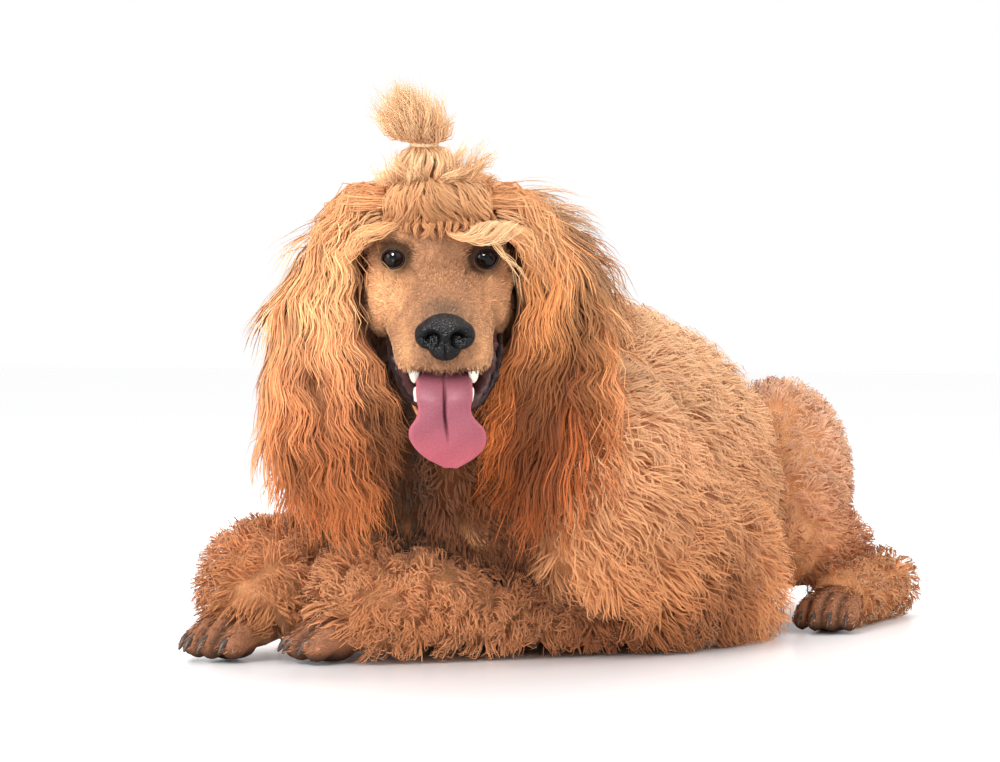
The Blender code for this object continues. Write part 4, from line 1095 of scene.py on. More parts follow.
def grow_trunk(form, others):
    def keep(points, normals):
        here = local(TRUNK, points)
        return off_the_floor(points, normals) & (here[:, 1] < LONG_COAT_END + 1.5) & clear_of(points, *others)

    roots, normals = rooted(form, 18000, 101, keep)
    here = local(TRUNK, roots)
    style = styled(
        length=2.6, height=2.5, hook=0.45, under=0.35, wave=0.22, wave_length=2.4, helix=0.4, clump=0.4,
        clump_spacing=1.3, swirl=0.35, width=0.13, rings=2, deep=1.4, contrast=0.03, relief=0.3, stray=0.4,
    )
    high = smoothstep(3, 24, here[:, 2])
    tint = mix((0.58, 0.235, 0.090), (0.67, 0.39, 0.21), high)
    x, _, z = local(EARS, roots).T
    forward = smoothstep(0.3, -0.2, normals @ np.array(EARS)[:3, 1])
    # Painted shade on the front of the body under the head, between the ears, where the coat is also shorter.
    chest_shade = forward * smoothstep(8.5, 5.5, np.abs(x - 1.0)) * smoothstep(-7, -10, z)
    # Painted shade in the creases where the trunk's coat meets the legs.
    tint = painted_crease_shade(mix(tint, COPPER * (0.17, 0.11, 0.08), chest_shade * 0.95), roots, *others[1:])
    unwrap = unwrap_between(TRUNK, (0, -6, 12), (0, 32, 12))
    lie = long_coat_lie(roots)
    grow("coat_trunk", roots, normals, lie, style, unwrap, BODY_HAIR, 102, tint, scale=1 - 0.45 * chest_shade)


def grow_hindquarters(form, others, name, seed, count):
    """Clipped, curly coat of the loins, thighs and shanks."""

    def keep(points, normals):
        here = local(TRUNK, points)
        return off_the_floor(points, normals) & (here[:, 1] > LONG_COAT_END - 1.0) & clear_of(points, *others)

    roots, normals = rooted(form, count, seed, keep)
    style = styled(
        length=1.0, height=1.15, hook=0.8, wave=0.15, wave_length=1.1, helix=0.5, clump=0.5,
        clump_spacing=0.9, swirl=0.9, width=0.14, rings=2, deep=1.35, contrast=0.05, relief=0.35, stray=0.6,
    )
    tint = mix((0.41, 0.135, 0.045), (0.55, 0.30, 0.18), smoothstep(3, 15, local(TRUNK, roots)[:, 2]))
    # Painted shade in the creases where this coat meets the other limbs.
    tint = painted_crease_shade(tint, roots, *others)
    unwrap = unwrap_between(TRUNK, (0, 24, 10), (0, 58, 10))
    grow(name, roots, normals, long_coat_lie(roots), style, unwrap, BODY_HAIR, seed + 1, tint)


def grow_foreleg(form, side, others, seed):
    def keep(points, normals):
        return off_the_floor(points, normals, 0.7) & clear_of(points, *others)

    roots, normals = rooted(form, 7100, seed, keep)
    start, end = spot(TRUNK, FORE_ELBOW[side]), spot(TRUNK, FORE_CARPUS[side])
    lie = unit(np.tile(end - start, (len(roots), 1))) + np.array((0, 0, -0.8))
    style = styled(
        length=1.3, height=1.7, hook=0.8, wave=0.17, wave_length=1.2, helix=0.5, clump=0.5,
        clump_spacing=1.1, swirl=1.2, width=0.115, rings=2, deep=1.3, contrast=0.05, relief=0.3, stray=0.6,
    )
    patches = np.clip(0.6 + 0.5 * waves(roots, 0.05, seed), 0, 1)
    tint = mix((0.47, 0.17, 0.062), (0.58, 0.25, 0.11), patches)
    if side == "right":
        low = smoothstep(7.5, 3.0, local(TRUNK, roots)[:, 2])
        tint = mix(tint, COPPER * 0.75, 0.75 * low)
    # Painted shade in the creases where the foreleg lies against the body and the neck.
    tint = painted_crease_shade(tint, roots, *others[:2])
    unwrap = round_unwrap(start, end)
    grow("coat_foreleg_" + side, roots, normals, lie, style, unwrap, BODY_HAIR, seed + 1, tint)


def grow_hindfoot(form, side, others, seed):
    def keep(points, normals):
        return (points[:, 2] > 0.5 * CM) & clear_of(points, *others)

    roots, normals = rooted(form, 1900, seed, keep)
    start, end = spot(TRUNK, HIND_HOCK[side]), spot(TRUNK, HIND_ANKLE[side])
    lie = np.tile(unit(end - start), (len(roots), 1)) + np.array((0, 0, -0.6))
    style = styled(
        length=1.0, height=0.85, hook=0.7, wave=0.16, wave_length=1.1, helix=0.5, clump=0.5,
        clump_spacing=0.8, swirl=0.8, width=0.14, rings=2, root=COPPER * 1.3, tip=APRICOT * 0.5, stray=0.5,
    )
    grow("coat_hindfoot_" + side, roots, normals, lie, style, round_unwrap(start, end), BODY_HAIR, seed + 1)


def grow_tail(form, seed):
    ball = pompon()
    centre = ball[0][0]

    def on_pompon(points, normals):
        return (inside(ball, points) > -0.012) & (points[:, 2] > 0.3 * CM)

    roots, normals = rooted(form, 2300, seed, on_pompon)
    style = styled(
        length=1.6, height=2.3, hook=0.7, wave=0.26, wave_length=1.8, helix=0.7, clump=0.55,
        clump_spacing=1.2, swirl=0.9, width=0.15, deep=1.2, tip=APRICOT, stray=0.5,
    )
    unwrap = round_unwrap(centre - (0, 0, 0.06), centre + (0, 0, 0.06))
    lie = np.tile((0.0, 0.3, -1.0), (len(roots), 1))
    grow("coat_pompon", roots, normals, lie, style, unwrap, BODY_HAIR, seed + 1)

    def on_dock(points, normals):
        return inside(ball, points) < -0.004

    roots, normals = rooted(form, 1100, seed + 2, on_dock)
    style = styled(
        length=0.9, height=0.35, wave=0.08, wave_length=1.0, clump=0.4, clump_spacing=0.6, rings=2,
        width=0.15, deep=1.2, tip=APRICOT * 0.85, stray=0.5,
    )
    along = np.tile(turned(TRUNK, (-0.6, 0.6, -0.4)), (len(roots), 1))
    grow("coat_dock", roots, normals, along, style, unwrap, BODY_HAIR, seed + 3)


def grow_mane(form, others):
    """Long hair of the neck and the back of the head. Under the ears and the chin it is short and dark."""

    def keep(points, normals):
        x, y, z = local(EARS, points).T
        face = (np.abs(x) < 6.3) & (y < 4.0) & (z > -9.5)
        return clear_of(points, *others) & ~face

    roots, normals = rooted(form, 7500, 201, keep)
    here = local(TRUNK, roots)
    x, y, z = local(EARS, roots).T
    backward = normals @ np.array(EARS)[:3, 1]
    # Painted shade on the mane under and behind the ears and on the front of the neck, where the hair is also
    # shorter.
    under_ear_shade = smoothstep(11.8, 9.8, np.abs(x)) * smoothstep(0.45, 0.0, backward) * smoothstep(4.0, 1.0, z)
    throat_shade = smoothstep(5.5, 3.0, np.abs(x - 1.0))
    outward = np.stack([here[:, 0] + 1.8, here[:, 1] - 4.0, np.zeros(len(roots))], axis=1)
    top = smoothstep(24, 31, here[:, 2])
    lie = unit(outward) * (0.2 + 0.7 * top[:, None]) + np.array((0, 0.15, -1.0)) * (1.2 - 0.6 * top[:, None])
    nape = smoothstep(7.0, 3.0, np.abs(here[:, 0] + 1.8)) * smoothstep(0.0, 3.0, here[:, 1])
    lie = lie + np.outer(nape * top, (0, 0.9, -0.5))
    style = styled(
        length=4.8, height=2.9, droop=1.0, wave=0.42, wave_length=3.6, helix=0.5, clump=0.55,
        clump_spacing=1.8, column=0.4, swirl=0.2, width=0.12, rings=4, deep=1.1, contrast=0.06, relief=0.4,
        stray=0.3,
    )
    tint = mix((0.58, 0.25, 0.10), (0.76, 0.43, 0.215), smoothstep(12, 27, here[:, 2]))
    lit = smoothstep(-6, -11, x) * smoothstep(20, 28, here[:, 2]) * smoothstep(0.6, 0.0, backward)
    tint = mix(tint, (0.82, 0.55, 0.36), 0.75 * lit)
    # Painted shade on the dog's left side of the mane, away from the key lamp.
    right = smoothstep(8.0, 12.0, x)
    tint = mix(tint, tint * (0.92, 0.85, 0.82), right)
    tint = mix(mix(tint, COPPER * 0.3, under_ear_shade), COPPER * 0.12, under_ear_shade * throat_shade)
    unwrap = unwrap_between(TRUNK, (-1.5, 4, 6), (-1.5, 4, 36))
    grow("coat_mane", roots, normals, lie, style, unwrap, PALE_HAIR, 202, tint, scale=1 - 0.7 * under_ear_shade)


# The hem of an ear: how low its hair hangs at each distance out from the head's middle
EAR_TIP_OUT = (1.0, 2.8, 5.0, 7.0, 9.0, 11.0, 12.5)
EAR_TIP_DOWN = (-14.5, -17.5, -19.8, -20.6, -20.3, -18.5, -15.5)


def grow_ear(form, side, others, seed, count, hem):
    """Long wavy locks on the leather of an ear; the hem's hang free below it and gather in ringlets."""
    mirrored = SIDES[side]

    def keep(points, normals):
        x, _, z = local(EARS, points).T
        beside_face = (x * mirrored < 5.6) & (z > -4.0)
        return clear_of(points, *others) & ~beside_face & ((z < -7.0) | (not hem))

    roots, normals = rooted(form, count, seed, keep)
    here = local(EARS, roots)
    out, z = here[:, 0] * mirrored, here[:, 2]
    slope = np.clip(-0.22 + 0.10 * (out - 8.2), -0.5, 0.06) * smoothstep(-1.0, -5.0, z)
    down = np.stack([slope * mirrored, -0.02 * np.ones(len(roots)), -np.ones(len(roots))], axis=1)
    lie = down @ np.array(EARS)[:3, :3].T
    dice = np.random.default_rng(seed + 5)
    outward = (normals @ np.array(EARS)[:3, 0]) * mirrored
    # Painted shade on the side of the ear that faces the head, where the hair is also shorter.
    inner_shade = smoothstep(-0.2, -0.7, outward) * smoothstep(-6.0, -3.0, z)
    scale = (1 - 0.4 * np.abs(outward) ** 2) * (1 - 0.6 * inner_shade)
    style = styled(
        height=1.3, wave=0.36, wave_length=3.4, helix=0.8, clump=0.66, clump_spacing=2.1, column=0.16,
        width=0.12, rings=5, deep=0.75, relief=1.0, contrast=0.12, stray=0.1, length_spread=0.12, under=0.2,
        loose=0.1,
    )
    lengths = np.full(len(roots), 5.6)
    if hem:
        style.rings, style.clump, style.height = 9, 0.75, 0.9
        tip = np.interp(out + slope * (z + 18.0), EAR_TIP_OUT, EAR_TIP_DOWN)
        lengths = np.clip(z - tip - dice.uniform(0.0, 2.6, len(roots)), 4.0, 12.0)
    reach = z - lengths
    tint = mix((0.41, 0.125, 0.038), (0.66, 0.29, 0.125), smoothstep(-17, -6, reach))
    tint = mix(tint, (0.76, 0.41, 0.19), 0.8 * smoothstep(-5.0, 1.0, z))
    # The dog's left ear is painted darker, as shade away from the key lamp, and hair facing outward is
    # painted lighter, as light on the ear's outer side.
    if side == "left":
        tint = tint * (0.95, 0.77, 0.58)
    tint = mix(tint, (0.62, 0.30, 0.13), 0.6 * smoothstep(0.2, 0.8, outward))
    tint = mix(tint, COPPER * 0.35, inner_shade)
    unwrap = unwrap_between(EARS, (8 * mirrored, 2.5, 4), (8 * mirrored, 2.5, -13))
    name = ("coat_ear_hem_" if hem else "coat_ear_") + side
    grow(name, roots, normals, lie, style, unwrap, EAR_HAIR, seed + 1, tint, lengths / scale, scale)


def grow_face(skin):
    """Velvet of the clipped face: tiny tufts that lie back from the nose."""
    mouth = turned(HEAD, (0, 0, 1))

    def keep(points, normals):
        _, y, z = local(HEAD, points).T
        good = (y < 6.5) & (z > -7.0) & (y > -10.4) & (z < 3.2)
        for sign in SIDES.values():
            far, across, up, _ = eye_directions(points, sign)
            good &= ~((far < EYE_RADIUS + 0.7) & (lid_opening(across, up) < 1.3))
        return good & ~((normals @ mouth < -0.82) & (z < -4.4))

    roots, normals = rooted(skin, 14000, 301, keep)
    here = local(HEAD, roots)
    away = here - np.array((0.0, -11.5, -2.2))
    away[:, 2] = away[:, 2] * 0.8 - 0.25 * smoothstep(-8, -4, here[:, 1]) * np.abs(here[:, 0])
    away = unit(away)
    lip = smoothstep(-3.9, -5.0, here[:, 2]) * smoothstep(1.0, -3.0, here[:, 1])
    away[:, 2] -= 1.3 * lip
    lie = away @ np.array(HEAD)[:3, :3].T
    style = styled(
        under=0.0, length_spread=0.35, height=0.12, wave=0.02, wave_length=0.5, clump=0.35,
        clump_spacing=0.35, width=0.085, thick=0.02, rings=1, contrast=0.12, stray=0.3,
    )
    lengths = 0.34 + 0.25 * smoothstep(-4, 4, here[:, 1])
    unwrap = unwrap_between(HEAD, (0, -11, -2), (0, 8, -1))
    line, shade, size = curves(roots, normals, lie, style, 302, lengths)
    s = np.linspace(0, 1, line.shape[1])[None, :, None]
    colours = face_colours(roots, normals)[:, None, :] * (0.7 + 0.6 * s) * np.exp(shade)[:, None, None]
    cover("coat_face", line, np.clip(colours, 0.002, 1), size, normals, style, unwrap, FACE_HAIR, 303)


def grow_paws(forms):
    """Short hair on the toes, thinning out to the claws."""
    for number, (name, form) in enumerate(forms.items()):
        wrist, heading, _, _ = PAWS[name]
        matrix = paw_frame(wrist, heading, 1.0)

        def keep(points, normals):
            here = local(matrix, points)
            return (points[:, 2] > 0.5 * CM) & (normals[:, 2] > -0.2) & (here[:, 1] < 1.5)

        roots, normals = rooted(form, 1000, 401 + number, keep)
        lie = np.tile(turned(matrix, (0, -1, -0.3)), (len(roots), 1))
        style = styled(
            length=0.5, height=0.12, wave=0.03, wave_length=0.6, clump=0.3, clump_spacing=0.4, width=0.10,
            thick=0.015, rings=1, root=PAW_BROWN, tip=PAW_BROWN * 1.5, stray=0.3,
        )
        back = smoothstep(-4.5, -0.5, local(matrix, roots)[:, 1])
        tint = mix(PAW_BROWN * 1.3, COPPER, back)
        # Painted shade in the grooves between the toes.
        tint = mix(tint, DARK_FACE * 0.8, 0.85 * toe_grooves(name, roots))
        unwrap = unwrap_between(matrix, (0, -7, 1.5), (0, 3, 1.5))
        grow("coat_" + name, roots, normals, lie, style, unwrap, PAW_HAIR, 411 + number, tint)


# Topknot

BAND_LOWER = (-0.9, 1.6, 4.8)
BAND_UPPER = (-1.0, 1.9, 7.6)


def strands(paths, per_path, spread, seed, tapers):
    """Lines scattered round guide paths of points, closest together at their first point."""
    dice = np.random.default_rng(seed)
    made = []
    for path in paths:
        path = np.asarray(path, dtype=float)
        offset = np.clip(dice.normal(0, 1, (per_path, 1, 3)), -1.7, 1.7) * spread
        share = np.linspace(0, 1, len(path))
        swell = (0.35 + 0.65 * (np.sin(math.pi * share) if tapers else share))[None, :, None]
        made.append(path[None] + offset * swell)
    return np.concatenate(made)


def smooth_path(points, stations):
    """A curve through points, resampled at even steps."""
    points = np.asarray(points, dtype=float)
    padded = np.vstack([2 * points[0] - points[1], points, 2 * points[-1] - points[-2]])
    result = []
    for value in np.linspace(0, 1, stations):
        k = min(int(value * (len(points) - 1)), len(points) - 2)
        u = value * (len(points) - 1) - k
        a, b, c, d = padded[k:k + 4]
        result.append(0.5 * (2 * b + (c - a) * u + (2 * a - 5 * b + 4 * c - d) * u ** 2
                             + (3 * b - a - 3 * c + d) * u ** 3))
    return np.array(result)


def pouf_balls():
    balls = apart(
        (
            ((0, 0.7, 2.5), (4.4, 1.7, 1.7)),
            ((-0.2, 2.2, 2.9), (4.5, 2.6, 1.5)),
            ((0, 5.5, 2.4), (4.6, 4.2, 2.2)),
        )
    )
    stem = (((-0.7, 1.7, 3.0), 1.6), (BAND_LOWER, 1.0), ((-0.95, 1.75, 6.2), 1.4), (BAND_UPPER, 0.7))
    return balls + chain(stem, matrix=HEAD) + chain(((BAND_UPPER, 0.7), ((-1.3, 2.1, 9.0), 0.8)), matrix=HEAD)


def grow_pouf(form, seed):
    """Hair combed up from the brow and back from the crown to the lower band."""

    def keep(points, normals):
        _, y, z = local(HEAD, points).T
        return (z < 4.5) & ((z > 1.5) | (y > 3.0))

    roots, normals = rooted(form, 4800, seed, keep)
    target = spot(HEAD, BAND_LOWER)
    here = local(HEAD, roots)
    gathered = (here[:, 1] < 5.0) & (np.abs(here[:, 0]) < 3.7)
    away = unit(roots - target) + np.outer(smoothstep(3.0, 7.0, here[:, 1]), np.array((0, 0.6, -0.4)))
    lie = np.where(gathered[:, None], -unit(roots - target), away)
    distance = np.linalg.norm(roots - target, axis=1) / CM
    lengths = np.where(gathered, np.clip(distance * 0.7, 0.6, 2.4), 2.0)
    style = styled(
        height=0.95, hook=0.5, wave=0.16, wave_length=2.4, helix=0.4, clump=0.4, clump_spacing=1.1,
        width=0.10, under=0.35, rings=4, deep=1.1, contrast=0.08, stray=0.15,
    )
    # Painted light on the upper part of the roll and painted shade along its lower edge, above the brow.
    tint = mix(APRICOT * 0.80, GOLD * 0.9, smoothstep(1.9, 3.2, here[:, 2]))
    tint = mix(tint, COPPER * 0.6, smoothstep(2.3, 1.5, here[:, 2]) * (here[:, 1] < 3.0))
    unwrap = unwrap_between(HEAD, (0, 2, -1), (0, 2, 7))
    scale = np.clip(lengths / 1.6, 0.4, 1.0)
    grow("coat_pouf", roots, normals, lie, style, unwrap, PALE_HAIR, seed + 1, tint, lengths / scale, scale)


def grow_paths(name, paths, per_path, spread, style, seed, tint, tapers=False):
    """Coat along guide paths given in the head's frame."""
    stations = style.rings + 2
    dense = [place(HEAD, smooth_path(path, stations)) for path in paths]
    line = strands(dense, per_path, spread * CM, seed, tapers)
    dice = np.random.default_rng(seed + 1)
    s = np.linspace(0, 1, stations)[None, :]
    phase = np.repeat(dice.uniform(0, math.tau, len(paths)), per_path) + dice.normal(0, 0.45, len(line))
    reach = np.linalg.norm(np.diff(line, axis=1), axis=2).sum(axis=1)
    angle = phase[:, None] + math.tau * s * (reach / (style.wave_length * CM))[:, None]
    front = turned(HEAD, (0, -1, 0.2))
    side = unit(np.cross(np.gradient(line, axis=1), front))
    swell = np.minimum(1.0, 2.5 * s) * style.wave * CM
    aside, forward = np.sin(angle) * swell, np.cos(angle) * swell * style.helix
    line = line + side * aside[:, :, None] + front * forward[:, :, None]
    keep = 1 - dice.uniform(0, style.length_spread, len(line))[:, None, None]
    line = line[:, :1] + (line - line[:, :1]) * keep
    normals = unit(np.tile(turned(HEAD, (0, -1, 0.5)), (len(line), 1)) + dice.normal(0, 0.4, (len(line), 3)))
    shade = dice.normal(0, style.contrast, len(line))
    colours = tuft_colours(line, shade, style, np.tile(tint, (len(line), 1)))
    unwrap = unwrap_between(HEAD, (0, 2, -2), (0, 2, 14))
    size = dice.uniform(0.6, 1.3, len(line))
    cover(name, line, colours, size, normals, style, unwrap, PALE_HAIR, seed + 2)


def ring_point(centre, radius, angle, lift):
    return (centre[0] + radius * math.sin(angle), centre[1] - radius * math.cos(angle), centre[2] + lift)


def grow_tuft():
    """The loose tuft over the upper band, which fans out and leans to the dog's right."""
    paths = []
    for ring, (reach, height) in enumerate(((0.7, 4.4), (1.7, 4.0), (2.7, 3.2), (3.1, 1.9))):
        for k in range(12):
            angle = math.tau * (k + 0.5 * ring) / 12
            lean = -0.42 * height
            start = ring_point(BAND_UPPER, 0.3, angle, 0.1)
            middle = np.add(ring_point(BAND_UPPER, reach * 0.6, angle, height * 0.4), (lean * 0.4, 0, 0))
            tip = np.add(ring_point(BAND_UPPER, reach, angle, height), (lean, 0, 0))
            paths.append((start, middle, tip))
    style = styled(
        width=0.09, thick=0.04, rings=4, wave=0.24, wave_length=2.6, helix=0.6, length_spread=0.5,
        root=COPPER * 1.2, contrast=0.12,
    )
    grow_paths("coat_tuft", paths, 40, 0.3, style, 501, PALE * 0.9)


def grow_puff():
    """Bunched hair between the two bands, which swells like petals, and the wisps that escape it."""
    petals = []
    for k in range(14):
        angle = math.tau * k / 14
        swell = 1.55 + 0.25 * math.sin(k * 2.1)
        petals.append((
            ring_point(BAND_LOWER, 0.5, angle, 0.0),
            ring_point(BAND_LOWER, swell, angle, 0.9),
            ring_point(BAND_LOWER, swell, angle + 0.2, 2.0),
            ring_point(BAND_UPPER, 0.5, angle, -0.1),
        ))
    style = styled(width=0.12, thick=0.05, rings=4, wave=0.12, length_spread=0.25, root=COPPER * 1.2)
    grow_paths("coat_puff", petals, 60, 0.16, style, 511, PALE)
    wisps = []
    for reach, height, angle in (
        (3.4, 2.0, -1.3), (2.9, 2.6, -1.0), (3.8, 1.1, -1.6), (3.0, 1.5, -0.6), (2.2, 2.2, -0.3),
        (2.4, 3.3, 0.8), (3.2, 3.4, 1.15), (4.4, 3.2, 1.4), (5.0, 2.5, 1.55), (3.4, 1.7, 0.7),
        (5.4, 1.6, 1.9), (3.0, 2.2, 2.6), (3.2, 2.0, -2.4), (2.6, 2.4, 3.1), (4.6, 1.2, 2.3),
        (3.8, 0.6, -1.9),
    ):
        wisps.append((
            ring_point(BAND_LOWER, 0.4, angle, 0.0),
            ring_point(BAND_LOWER, reach * 0.55, angle - 0.1, height * 0.2),
            ring_point(BAND_LOWER, reach * 0.85, angle + 0.15, height * 0.6),
            ring_point(BAND_LOWER, reach, angle, height),
        ))
    style = styled(width=0.08, thick=0.035, rings=4, wave=0.3, length_spread=0.4, root=APRICOT)
    grow_paths("coat_wisps", wisps, 45, 0.26, style, 521, PALE)


def grow_fringe():
    """Curls at the brow under the pouf, the pale lock over the left brow and the strands beside the eyes."""
    curls = []
    for k in range(17):
        x = -4.3 + 8.6 * k / 16
        front = -1.35 + 0.12 * x * x
        curl = 0.25 * math.sin(k * 2.4)
        curls.append((
            (x * 0.92, front + 0.6, 3.1), (x, front - 0.55, 2.7), (x + curl, front - 0.65, 2.2),
            (x - curl, front - 0.40, 1.75 - 0.15 * math.cos(x * 1.1)),
        ))
    style = styled(width=0.11, thick=0.05, rings=4, wave=0.12, length_spread=0.3, root=APRICOT * 0.7)
    grow_paths("coat_fringe", curls, 42, 0.13, style, 531, APRICOT)
    locks = (
        (
            (0.3, -1.6, 2.3), (1.3, -2.4, 1.75), (2.4, -2.6, 1.9),
            (3.4, -2.4, 2.6), (4.1, -2.1, 3.0), (4.6, -1.9, 2.8),
        ),
        (
            (1.0, -1.8, 2.2), (2.2, -2.4, 1.6), (3.2, -2.5, 1.55),
            (4.2, -2.3, 2.1), (4.9, -1.8, 2.7), (5.5, -1.4, 2.8),
        ),
        ((2.0, -1.7, 2.5), (3.0, -2.1, 2.1), (4.1, -2.0, 1.5), (5.1, -1.6, 1.7), (5.9, -1.0, 2.4)),
    )
    style = styled(width=0.06, rings=7, wave=0.08, wave_length=2.0, length_spread=0.35, root=GOLD)
    grow_paths("coat_lock", locks, 42, 0.17, style, 541, PALE, True)
    beside = (
        ((-2.8, -1.2, 2.5), (-4.6, -1.6, 2.0), (-6.1, -1.2, 0.9), (-7.0, -0.6, -0.9)),
        ((-3.4, -0.8, 2.6), (-5.4, -1.2, 1.8), (-6.8, -0.5, 0.2), (-7.5, 0.2, -2.2)),
        ((3.6, -0.6, 2.4), (5.3, -1.0, 1.6), (6.4, -0.4, -0.1), (7.2, 0.3, -2.0)),
        ((4.2, -0.4, 2.6), (6.0, -0.6, 1.6), (7.2, 0.0, 0.0), (8.0, 0.5, -2.4)),
    )
    style = styled(
        width=0.09, thick=0.04, rings=6, wave=0.22, wave_length=2.6, helix=0.6, length_spread=0.3,
        root=GOLD,
    )
    grow_paths("coat_strands", beside, 40, 0.3, style, 551, GOLD * 1.1, True)
    across_eye = (
        ((2.9, -1.6, 2.0), (3.9, -2.0, 1.0), (4.7, -1.8, 0.1), (5.7, -1.0, -0.7), (6.5, -0.4, -2.2)),
        ((3.2, -1.5, 2.0), (4.2, -1.9, 0.8), (4.9, -1.6, -0.4), (5.5, -1.0, -1.6), (5.9, -0.4, -3.4)),
    )
    style = styled(width=0.07, thick=0.03, rings=6, wave=0.08, length_spread=0.3, root=GOLD)
    grow_paths("coat_eye_strands", across_eye, 9, 0.10, style, 571, PALE, True)


def grow_temples():
    """Hair that falls from the sides of the crown over the ears."""
    paths = []
    for sign in SIDES.values():
        for k in range(13):
            back = k / 12
            y = 0.4 + 7.5 * back
            start = (sign * (3.2 + 0.4 * math.sin(back * 3)), y + 0.4, 3.6)
            over = (sign * 6.4, y * 0.9 + 0.5, 3.3 - 0.3 * back)
            fall = (sign * (8.3 + 0.5 * math.sin(k * 1.7)), y * 0.8 + 0.3, -0.2)
            tip = (sign * (8.9 + 0.8 * math.sin(k * 2.3)), y * 0.7, -4.8 - 1.2 * math.sin(k * 1.3))
            paths.append((start, over, fall, tip))
    style = styled(
        width=0.12, rings=8, wave=0.42, wave_length=3.6, helix=0.6, length_spread=0.4, root=APRICOT,
        contrast=0.12,
    )
    grow_paths("coat_temples", paths, 60, 0.55, style, 561, GOLD)


# Details: eyes, lids, nose, mouth, claws and bands


def finish_piece(obj, material, slot_name, *nodes):
    """Gives a piece its material and smooth shading, and hides the nodes that it stands for; the slot name is
    not used.
    """
    obj.data.materials.clear()
    obj.data.materials.append(material)
    obj.data.shade_smooth()
    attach(obj, "root")
    if nodes:
        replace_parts(obj, *nodes)
    return obj


# From the pupil outwards: a colour, and the angles from the gaze between which it takes over
EYE_RINGS = (
    ((0.002, 0.002, 0.002), 22, 18),
    ((0.004, 0.003, 0.003), 35, 39),
    ((0.10, 0.06, 0.05), 52, 58),
)


def make_eyes(material):
    """Eyeballs with a bulging cornea, from the pupil over a dark brown iris and its rim to the white."""
    for side, sign in SIDES.items():
        centre = eye_centre(sign)
        bm = bmesh.new()
        bmesh.ops.create_uvsphere(bm, u_segments=48, v_segments=32, radius=EYE_RADIUS * CM * 0.985)
        obj = object_from(bm, "eyeball_" + side)
        obj.data.transform(HEAD @ Matrix.Translation(Vector(centre) * CM))
        points = coords_of(obj.data)
        gaze = turned(HEAD, (math.sin(EYE_TURN * 0.3) * sign, -math.cos(EYE_TURN * 0.3), 0.0))
        rays = unit(points - spot(HEAD, centre))
        angle = np.degrees(np.arccos(np.clip(rays @ gaze, -1, 1)))
        put_coords(obj.data, points + rays * (0.045 * CM * hill((angle, 0, 30)))[:, None])
        colours = (0.016, 0.006, 0.0035)
        for colour, start, end in EYE_RINGS:
            colours = mix(colours, colour, smoothstep(start, end, angle))
        paint(obj.data, colours)
        finish_piece(obj, material, "eye_wet", "eye_" + side)


def tube(name, path, radii, sides, flatten=1.0, ripple=0.0):
    """A closed tube along world points. Its ripple is a share of the radius for each station and side."""
    path = np.asarray(path)
    along = unit(np.gradient(path, axis=0))
    across = unit(np.cross(along, (0.0, 0.0, 1.0)))
    lift = np.cross(across, along)[:, None]
    a = math.tau * np.arange(sides)[:, None] / sides
    reach = (radii[:, None] * (1 + ripple))[:, :, None]
    return ringed(name, path[:, None] + (across[:, None] * np.cos(a) * flatten + lift * np.sin(a)) * reach)


def make_lid_rims(material):
    """The dark wet edge of the lids."""
    made = []
    a = np.linspace(0, math.tau, 73)
    reach = np.where(np.sin(a) > 0, LID_UPPER, LID_LOWER)
    for side, sign in SIDES.items():
        across, up = np.cos(a) * LID_WIDTH - LID_INWARD * sign, np.sin(a) * reach
        depth = -np.sqrt(np.maximum(0.02, 1 - across ** 2 - up ** 2))
        cos, sin = math.cos(sign * EYE_TURN), math.sin(sign * EYE_TURN)
        rays = np.stack([across * cos - depth * sin, across * sin + depth * cos, up], axis=1)
        path = place(HEAD, eye_centre(sign) + rays * (EYE_RADIUS + 0.06))
        made.append(tube("lid_rim_" + side, path, np.full(len(a), 0.075 * CM), 8))
    return finish_piece(joined(made, "lid_rims"), material, "nose_leather")


def make_nose(material):
    """Nose leather with comma-shaped nostrils and a groove down its middle."""
    balls = apart((((0, -10.5, -2.9), (1.68, 1.1, 1.22)), ((0, -10.6, -3.85), (1.12, 0.95, 1.0))))
    for sign in SIDES.values():
        balls += apart((((1.1, -10.45, -3.15), (0.9, 0.95, 0.95)),), sign)
    obj = melted("nose_leather_piece", balls, 0.06, 16)
    points, normals = coords_of(obj.data), normals_of(obj.data)
    x, y, z = local(HEAD, points).T
    front = smoothstep(-10.6, -11.1, y)
    ax = np.abs(x)
    pit = front * np.exp(-((((ax - 0.95) / 0.52) ** 2 + ((z + 3.22) / 0.47) ** 2) ** 1.6))
    slit = hill((z - 0.35 * (ax - 0.9), -3.5, 0.13)) * smoothstep(1.0, 1.25, ax) * smoothstep(1.9, 1.5, ax)
    groove = front * hill((x, 0, 0.07)) * smoothstep(-3.2, -3.7, z)
    wing = front * hill((ax, 1.0, 0.62), (z, -2.55, 0.26))
    flap = pit * hill((ax, 1.32, 0.16), (z, -3.12, 0.24))
    sink = 0.10 * wing + 0.30 * flap - 0.85 * pit - 0.26 * slit - 0.14 * groove
    points = points + normals * (sink * CM)[:, None]
    points = points + normals * (waves(points, 0.0018, 9) * 0.010 * CM)[:, None]
    put_coords(obj.data, points)
    leather = mix((0.012, 0.0095, 0.009), (0.004, 0.0035, 0.004), smoothstep(-2.1, -2.8, z))
    # Painted shade deep in the nostrils and their slits.
    paint(obj.data, mix(leather, (0.0015, 0.001, 0.001), np.clip(1.6 * pit + slit, 0, 1)))
    return finish_piece(obj, material, "nose_leather", "nose")


